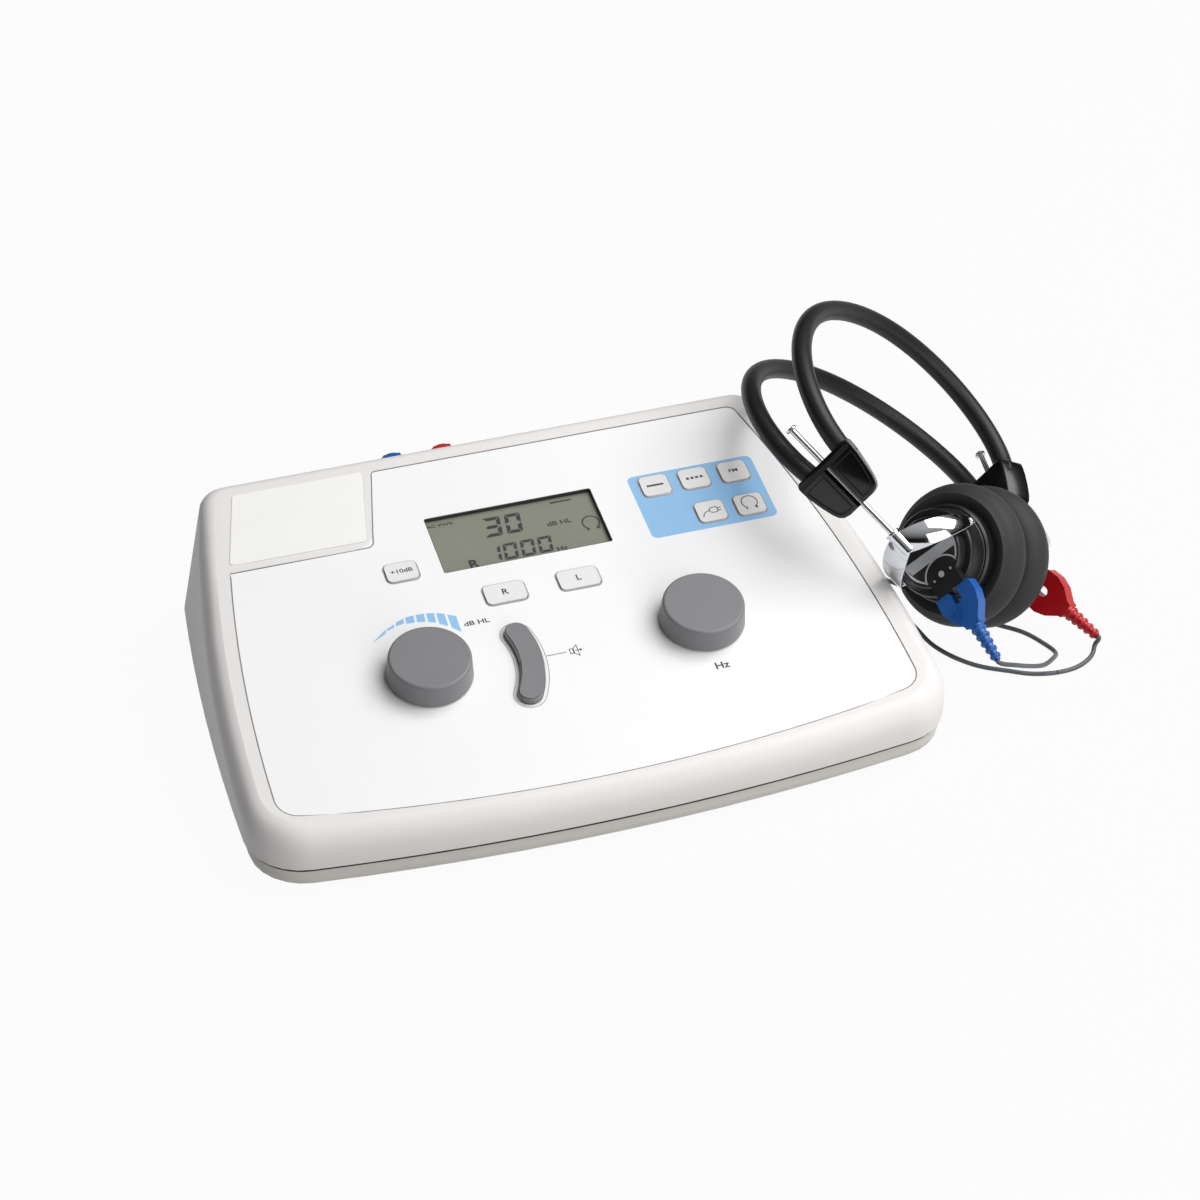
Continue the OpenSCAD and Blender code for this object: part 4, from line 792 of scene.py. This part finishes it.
figure_slant = 0.13
loops = []
for which, x, w in (("3", -16.2, 9.0), ("0", -4.9, 8.0)):
    loops += digit(which, x, 0.9, w, 12.9, figure_slant, 2.05)
for which, x in (("1", -19.4), ("0", -11.0), ("0", -2.2), ("0", 6.6)):
    loops += digit(which, x, -15.7, 7.0, 10.6, figure_slant, 1.65)
printed("display_figures", loops, glass_level, segment_ink)
steady_bar = [(21.2, 15.3), (32.2, 15.3), (32.2, 16.3), (21.2, 16.3)]
printed("display_tone_bar", [steady_bar], glass_level, segment_ink)
lettering("display_ear_letter", "R", -26.8, -14.4, 4.9, glass_level, segment_ink, "unit", 1.1, 0.06)
for name, text, x, y, height, wide in (
        ("display_level_unit", "dB HL", 21.8, 2.0, 2.7, 1.25),
        ("display_frequency_unit", "Hz", 18.0, -15.2, 2.9, 1.15),
        ("display_power_words", "AC PWR", -35.4, 14.9, 1.7, 1.45)):
    lettering(name, text, x, y, height, glass_level, faint_ink, "unit", wide, 0.045)
# A black ring round the window's inner edge is painted shadow of the well's walls, so the window keeps a
# dark edge at its back and right.
well_shadow_rings = [rounded_box(0, 0, 85.6, 37.7, 0.6), rounded_box(0, 0, 84.9, 37.0, 0.5)]
printed("display_well_painted_shadow", well_shadow_rings, glass_level, module_dark, thick=2.2)


def head_arc(x, y, r, width):
    """A headphones sign: an open ring with two pads at its foot."""
    turns = [math.radians(a) for a in range(-50, 231, 14)]
    arc = [(x + r * math.cos(a), y + r * math.sin(a) * 1.05) for a in turns]
    pads = []
    for s in (-1, 1):
        px, py = x + s * r * 0.62, y - r * 0.98
        pads.append([(px - s * 0.9 * width - 0.1, py + 1.1), (px + s * 0.9 * width + 0.1, py + 0.7),
            (px + s * 0.9 * width + 0.2, py - 0.9), (px - s * 0.9 * width, py - 0.6)])
    return [outline_of(arc, width)] + pads


printed("display_headphones", head_arc(36.9, -1.9, 4.2, 0.85), glass_level, faint_ink)

# ---------------------------------------------------------------- keys
# Eight membrane-panel keys: moulded off-white caps that stand just proud of the film, each
# with a printed sign, over a small domed switch on the board.

# Satin ABS caps, a shade warmer than the film.
key_abs = surface("off_white_key_abs", "e2e1e0", "e7e6e5", 20, 0.5, 0.4, 0.01)
for name in key_size:
    smooth_again(name, name + "_cap", key_abs, name)

cap_top = 0.9
bar = [(70.2, 11.1), (79.0, 11.1), (79.0, 12.3), (70.2, 12.3)]
printed("steady_tone_sign", [bar], cap_top, ink_black, "key_steady")
dots = [[(x - 0.75, 11.0), (x + 0.75, 11.0), (x + 0.75, 12.5), (x - 0.75, 12.5)]
    for x in (91.7, 94.1, 96.5, 98.9)]
printed("pulsed_tone_sign", dots, cap_top, ink_black, "key_pulsed")
for name, text, x, y, height, key, wide in (
        ("warble_tone_sign", "FM", 115.8, 11.6, 2.1, "key_warble", 1.3),
        ("level_step_sign", "+10dB", -62.6, -12.8, 2.4, "key_step", 1.2),
        ("right_ear_sign", "R", -18.4, -38.6, 3.5, "key_right_ear", 1.05),
        ("left_ear_sign", "L", 18.6, -38.6, 3.5, "key_left_ear", 1.05)):
    lettering(name, text, x, y, height, cap_top, ink_black, key, wide)
printed("headphones_sign", head_arc(116.2, -11.3, 4.0, 0.5), cap_top, ink_black, "key_headphones")
plug_sign = [
    outline_of([(90.8, -15.6), (91.9, -13.6), (93.2, -12.5), (94.8, -12.0)], 0.5),
    [(94.8, -11.2), (95.8, -10.1), (98.8, -9.9), (99.6, -10.8), (99.4, -13.2), (98.4, -14.0),
        (95.8, -13.8), (94.9, -12.9)],
    [(95.3, -11.4), (96.1, -10.6), (98.5, -10.4), (99.1, -11.0), (98.9, -13.0), (98.2, -13.5),
        (96.0, -13.3), (95.3, -12.7)],
    [(99.6, -11.4), (101.2, -11.3), (101.2, -10.8), (99.6, -10.9)],
    [(99.4, -13.0), (101.0, -12.9), (101.0, -12.4), (99.4, -12.5)]]
printed("line_input_sign", plug_sign, cap_top, ink_black, "key_line_input")

# ---------------------------------------------------------------- knobs and tone bar
# Two large moulded dials and the long curved bar that is held down to give the tone. All are
# mid grey with a fine satin skin and softly rounded edges.

# Soft-touch moulding: dull, with a slight sheen at grazing light.
knob_grey = surface("mid_grey_satin_abs", "757577", "7d7d7f", 25, 0.5, 0.42, 0.012)
smooth_again("level_knob", "level_knob_skin", knob_grey, "level_dial")
smooth_again("frequency_knob", "frequency_knob_skin", knob_grey, "frequency_dial")
smooth_again("tone_bar", "tone_bar_grip", knob_grey, "tone_bar", 28)


level_centre = (-67.5, -79.6)


def band_round(r, half_w, start=-30, end=16):
    """Outline of a band that follows a circle about the level knob, with round ends."""
    turns = [start + (end - start) * k / 24 for k in range(25)]
    caps = [[on_circle(*on_circle(*level_centre, r, about), half_w, about + turn + 15 * k)
        for k in range(1, 12)] for about, turn in ((end, 0), (start, 180))]
    return ([on_circle(*level_centre, r + half_w, a) for a in turns] + caps[0]
        + [on_circle(*level_centre, r - half_w, a) for a in turns[::-1]] + caps[1])


# A thin grey ring round the tone bar is painted shade at its edge.
printed("tone_bar_edge_painted_shade", [band_round(48.3, 8.0), band_round(48.3, 7.55)], 0.006, edge_shade_grey)

# ---------------------------------------------------------------- headband
# Two round padded tubes of black synthetic rubber over spring steel run over the head and
# seat in a moulded black block at each end.

# Extruded foam-backed rubber: near black, a soft broad sheen along the tube.
band_rubber = surface("black_band_rubber", "0a0a0b", "101011", 14, 0.5, 0.45, 0.012,
    {"Specular IOR Level": 0.4})
block_gloss = surface("polished_black_nylon", "0b0b0c", "121214", 10, 0.4, 0.2, 0.004)

pivot = 33.5
splay = math.radians(23.5)
rod_out = 24.1
socket_out = 21
socket_aside = 11
band_width = 10.0


def rod_place(out, along, z):
    """Point given from the earphone's pivot: out from it, along its rod, across the band."""
    return Vector((pivot + out * math.cos(splay) + along * math.sin(splay),
        -out * math.sin(splay) + along * math.cos(splay), z))


for name, hand in (("upper_tube", -1), ("lower_tube", 1)):
    level = hand * socket_aside
    crown = Vector((0, 144, hand * 22.2))
    foot = rod_place(socket_out, 62.5, level)
    start = rod_place(socket_out, 71, level)
    rise = (crown.z - level) / (crown.y - start.y)
    away = start + 34.6 * Vector((math.sin(splay), math.cos(splay), rise)).normalized()
    flat = crown + Vector((61.2, 0, 0))
    half = []
    for k in range(27):
        t = k / 26
        u = 1 - t
        half.append(u ** 3 * start + 3 * u * u * t * away + 3 * u * t * t * flat + t ** 3 * crown)
    mirrored = [Vector((-p.x, p.y, p.z)) for p in half[-2::-1]]
    across = [foot] + half + mirrored + [Vector((-foot.x, foot.y, foot.z))]
    path = [headset @ p for p in across]
    tube = swept_tube(name + "_cover", path, band_width / 2, 28, band_rubber)
    settle(tube, "headset", name)


def evaluated(piece):
    """The piece's mesh with its modifiers carried out."""
    bpy.context.view_layer.update()
    mesh = bpy.data.meshes.new_from_object(piece.evaluated_get(bpy.context.evaluated_depsgraph_get()))
    piece.modifiers.clear()
    old = piece.data
    piece.data = mesh
    mesh.name = piece.name
    bpy.data.meshes.remove(old)


def carve(piece, tool):
    """Cuts the tool's solid out of the piece."""
    cut = piece.modifiers.new("cut", "BOOLEAN")
    cut.object = tool
    cut.operation = "DIFFERENCE"
    cut.solver = "EXACT"
    evaluated(piece)
    bpy.data.objects.remove(tool)


def soften(piece, width, angle):
    """Rounds every edge that is sharper than this angle."""
    soft = piece.modifiers.new("soft_edges", "BEVEL")
    soft.width = width * MM
    soft.segments = 3
    soft.limit_method = "ANGLE"
    soft.angle_limit = math.radians(angle)
    evaluated(piece)


# Each block: a shield-shaped moulding with polished faces in a low rim, a slot for the rod up
# to a raised cross rib, and two sockets that hold the tubes.
side_line = [(8, 42.4), (11.2, 43.2), (13.2, 45), (14.6, 48), (16.2, 54), (17.5, 61), (18, 66),
    (18, 68.5), (17.2, 70), (15.6, 70.5)]
block_loop = side_line + [(-z, t) for z, t in side_line[::-1]]
block_foot, block_length = 42.4, 28.1
outer_face = 27.5
inner_face = 14.5
slot_corners = [(x, t, z) for x in (22.3, 30) for t in (40, 66.8) for z in (-1.8, 1.8)]
slot_faces = [(0, 1, 3, 2), (4, 6, 7, 5), (0, 4, 5, 1), (2, 3, 7, 6), (0, 2, 6, 4), (1, 5, 7, 3)]
bores = ((rod_out, 0, 1.75, 40, 73), (socket_out, socket_aside, 5.15, 62.4, 73),
    (socket_out, -socket_aside, 5.15, 62.4, 73))
rim_lines = (
    [(3.6, 44.2), (8.2, 44.2), (10.6, 45), (12.1, 46.8), (13.3, 50), (14.8, 56), (15.8, 61.5),
        (16, 64.6), (3.6, 64.6)],
    [(4.3, 44.9), (8, 44.9), (10.1, 45.6), (11.5, 47.2), (12.6, 50.2), (14.1, 56.1), (15.1, 61.5),
        (15.3, 63.9), (4.3, 63.9)])
rib_outline = rounded_box(0, 67.4, 33.4, 2.4, 0.9)
flat_print = Matrix(((0, 0, 1, 0), (0, 1, 0, 0), (-1, 0, 0, 0), (0, 0, 0, 1)))
upward = Matrix.Rotation(math.radians(90), 4, "Z")
rod_frames = {}
for near, phone_frame in phones.items():
    rod_frame = phone_frame @ Matrix.Translation((pivot, 0, 0)) @ Matrix.Rotation(-splay, 4, "Z")
    rod_frames[near] = rod_frame
    verts = [(rod_frame @ Vector((outer_face, t, z))) * MM for z, t in block_loop]
    for z, t in block_loop:
        narrower = 0.72 + 0.1 * (t - block_foot) / block_length
        verts.append((rod_frame @ Vector((inner_face, t, z * narrower))) * MM)
    n = len(block_loop)
    faces = [tuple(range(n)), tuple(range(n, 2 * n))[::-1]]
    faces += [(k, n + k, n + (k + 1) % n, (k + 1) % n) for k in range(n)]
    block = solid(near + "_block_body", verts, faces, block_gloss, False)
    soften(block, 0.9, 40)
    slot_verts = [(rod_frame @ Vector(c)) * MM for c in slot_corners]
    carve(block, solid("slot_tool", slot_verts, slot_faces, block_gloss, False))
    for x, z, r, start, end in bores:
        bore_line = rod_frame @ Matrix.Translation((x, 0, z)) @ upward
        carve(block, turned("bore_tool", [(start, r), (end, r)], bore_line, 48, block_gloss))
    shade_by_angle(block, 32)
    settle(block, "headset", near + "_block")
    on_face = rod_frame @ flat_print
    rib = printed(near + "_block_rib", [rib_outline], outer_face - 0.4, block_gloss, "headset",
        on_face, 0.9)
    for part, hand in (("left", 1), ("right", -1)):
        loops = [[(hand * z, t) for z, t in line] for line in rim_lines]
        rim = printed("%s_block_rim_%s" % (near, part), loops, outer_face - 0.05, block_gloss,
            "headset", on_face, 0.4)

# ---------------------------------------------------------------- rods and forks
# Plated steel: a round rod with a button cap at its top, and a C-shaped strip fork that holds
# the earphone between two pins. The rod slides in the block to fit the head.

# Bright chrome: a mirror with the faintest waviness.
chrome = surface("bright_chrome_plate", "d3d5d9", "dcdee1", 8, 4, 0.09, 0.0, {"Metallic": 1.0})
rod_profile = [(11.4, 1.6), (90.9, 1.6), (90.9, 2.4), (91.3, 2.8), (92.0, 2.85), (92.5, 2.3), (92.7, 1.2)]
sleeve_profile = [(9.9, 2.6), (10.4, 3.2), (21.3, 3.2), (21.3, 3.5), (21.6, 3.8), (22.3, 3.8),
    (22.6, 3.5), (22.6, 1.7)]
pin_profile = [(19.95, 1.5), (24.5, 1.5), (24.5, 2.0), (25.2, 2.0), (25.55, 1.6)]
strip_section = ((-0.75, -1), (-0.45, -1), (0.45, -1), (0.75, -1), (0.75, 1), (0.45, 1), (-0.45, 1),
    (-0.75, 1))
strip_steps, strip_ends, step_angle, end_angle = 72, 3, 2.5, 1.9
for near, rod_frame in rod_frames.items():
    along_rod = rod_frame @ Matrix.Translation((rod_out, 0, 0)) @ upward
    rod = turned(near + "_slide_rod", rod_profile, along_rod, 32, chrome)
    sleeve = turned(near + "_fork_sleeve", sleeve_profile, along_rod, 40, chrome)
    # The strip: half a turn about the earphone, widest at the rod, with a round end at each pin.
    verts = []
    for step in range(-strip_ends, strip_steps + strip_ends + 1):
        bend = step_angle * min(strip_steps, max(0, step))
        over = max(-step, step - strip_steps, 0)
        angle = math.radians(bend + (end_angle if step > 0 else -end_angle) * over)
        s = 1 - abs(bend - 90) / 90
        high, low = 2.4 + 18.6 * (1 - (1 - s) ** 1.5), -2.0 + 11.5 * s ** 1.6
        mid, reach = (high + low) / 2, (high - low) / 2 * math.sqrt(max(0.02, 1 - (over / 3.05) ** 2))
        for d, t in strip_section:
            inset = 0.0 if abs(d) < 0.5 else 0.3
            q = rod_out + d
            point = Vector((q * math.sin(angle), mid + t * (reach - inset), q * math.cos(angle)))
            verts.append((rod_frame @ point) * MM)
    faces = skin(strip_steps + 2 * strip_ends + 1, len(strip_section))
    strip = solid(near + "_fork_strip", verts, faces, chrome)
    shade_by_angle(strip, 50)
    pieces = [sleeve, strip]
    for end, hand in (("top", 1), ("foot", -1)):
        across = rod_frame @ Matrix.Rotation(math.radians(-90 * hand), 4, "Y")
        pieces.append(turned("%s_fork_pin_%s" % (near, end), pin_profile, across, 28, chrome))
    settle(rod, near + "_slider", near + "_rod")
    for piece in pieces:
        settle(piece, near + "_slider", near + "_fork")

# ---------------------------------------------------------------- earphones
# Each earphone is a stepped moulded capsule with a round label on its back, in a thick
# dished cushion of matt black rubber that is stretched over its rim.

capsule_abs = surface("black_satin_capsule", "161617", "202021", 8, 0.4, 0.36, 0.01)

# Label: black print on silver foil, its rim, an arc and the bare band left silver.
label_foil = surface("brushed_silver_foil", "c4c6c8", "d0d2d4", 5, 0.3, 0.36, 0.004, {"Metallic": 0.35})
label_level = 41.6
rim_ring = [on_circle(0, 0, 15.1, -48 + 276 * k / 60) for k in range(61)]
half_turn = [math.pi * k / 24 for k in range(25)]
foot_arc = [(-0.25 + 10 * math.cos(a), -12.8 + 8 * math.sin(a)) for a in half_turn]
foil_shapes = {
    "rim": [outline_of(rim_ring, 1.0)],
    "arc": [outline_of(foot_arc, 0.8)],
    "band": [[(-15.0, 2.7), (-13.8, -3.2), (13.6, -6.2), (14.4, -1.0)]],
    "marks": [[(4.2, -14.4), (5.4, -14.2), (5.1, -12.9), (4.0, -13.1)],
        [(-6.8, -13.9), (-5.6, -13.9), (-5.8, -12.6), (-6.8, -12.7)]],
    "rivet": [[on_circle(-1.0, -12.8, 1.6, 180 * k / 14) for k in range(28)]],
}
for near, phone_frame in phones.items():
    phone = near + "_phone"
    shell = smooth_again(near + "_capsule", near + "_capsule_shell", capsule_abs, phone)
    shell.modifiers.clear()
    carve(shell, turned("label_tool", [(label_level, 15.7), (45, 15.7)], phone_frame, 64, capsule_abs))
    even_facets(shell, 33)
    label_face = phone_frame @ flat_print
    for part, loops in foil_shapes.items():
        foil = printed("%s_label_%s" % (near, part), loops, label_level, label_foil, phone, label_face,
            0.06)

# Moulded soft rubber: no gloss, a dusty bloom in patches.
cushion_rubber = surface("matt_cushion_rubber", "1f1f20", "2c2c2d", 12, 0.7, 0.68, 0.05)

soft_profile = [(12.9, 9), (8.6, 11), (5.2, 15), (2.5, 19.5), (1.55, 23.5), (1.3, 26), (1.6, 28.5),
    (3, 31.5), (5.8, 34), (9, 35.2), (11.5, 35.5), (14.5, 35.1), (18, 33.7), (20.6, 31.1),
    (21.9, 30), (21.6, 27.4), (20.6, 25.3)]
inner_profile = [(20.2, 24.52), (17.98, 24.52), (17.98, 9)]
rounded_line = smooth_curve([Vector((along, r, 0)) for along, r in soft_profile], 1.2)
cushion_profile = [(p.x, p.y) for p in rounded_line] + inner_profile
cushion_sides = 72
for near, phone_frame in phones.items():
    verts = revolved(cushion_profile, phone_frame, cushion_sides)
    faces = skin(len(cushion_profile), cushion_sides, ends=False)
    cushion = solid(near + "_cushion_rubber", verts, faces, cushion_rubber)
    shade_by_angle(cushion, 50)
    settle(cushion, near + "_phone", near + "_cushion")

# ---------------------------------------------------------------- lead plugs
# Two-legged plugs moulded in soft PVC, blue for the left ear and red for the right, with a
# ribbed strain relief.

plug_blue = surface("blue_moulded_pvc", "1b559f", "2360b0", 8, 0.4, 0.36, 0.01)
plug_red = surface("red_moulded_pvc", "ac0f16", "bc151c", 8, 0.4, 0.36, 0.01)
plug_outline = [(-10.5, 0), (-2.5, 0), (-2.5, -6), (-1, -7.5), (1, -7.5), (2.5, -6), (2.5, 0), (10.5, 0),
    (10.9, -7), (8.9, -13), (4.4, -19), (4, -21), (-4, -21), (-4.4, -19), (-8.9, -13), (-10.9, -7)]
plug_thick = 7.0
grips = []
for k in range(4):
    left, right, low = -7.4 + 0.9 * k, 1.4 - 0.4 * k, -11.4 - 1.5 * k
    grips.append([(left, low), (right, low + 2.8), (right, low + 3.5), (left, low + 0.7)])
relief = [(18, 3.6), (21, 3.4)]
for k in range(5):
    foot, r = 22.2 + 3.9 * k, 3.9 - 0.28 * k
    neck = 3.4 - 0.3 * (k + 0.2)
    relief += [(foot, neck - 0.2), (foot + 0.2, r - 0.3), (foot + 0.6, r), (foot + 1.6, r - 0.12),
        (foot + 2.0, r - 0.4), (foot + 2.2, neck - 0.4)]
relief += [(plug_length, 1.75)]
for tone, near, turn, material in (("blue", "near", blue_turn, plug_blue),
        ("red", "far", red_turn, plug_red)):
    phone = near + "_phone"
    seat = (phones[near] @ Matrix.Rotation(math.radians(turn), 4, "X")
        @ Matrix.Translation((plug_centre, -plug_height, 0)))
    flat_seat = seat @ flat_print
    body = printed(tone + "_plug_body", [plug_outline], -plug_thick / 2, material, phone, flat_seat,
        plug_thick)
    work = bmesh.new()
    work.from_mesh(body.data)
    bmesh.ops.dissolve_limit(work, angle_limit=0.01, verts=work.verts, edges=work.edges)
    work.to_mesh(body.data)
    work.free()
    soften(body, 1.0, 28)
    even_facets(body, 40)
    downward = seat @ Matrix.Rotation(math.radians(-90), 4, "Z")
    tail = turned(tone + "_plug_relief", relief, downward, 32, material)
    ribs = printed(tone + "_plug_grips", grips, plug_thick / 2 - 0.1, material, phone, flat_seat, 0.5)
    settle(body, phone, tone + "_plug")
    settle(tail, phone, tone + "_plug")
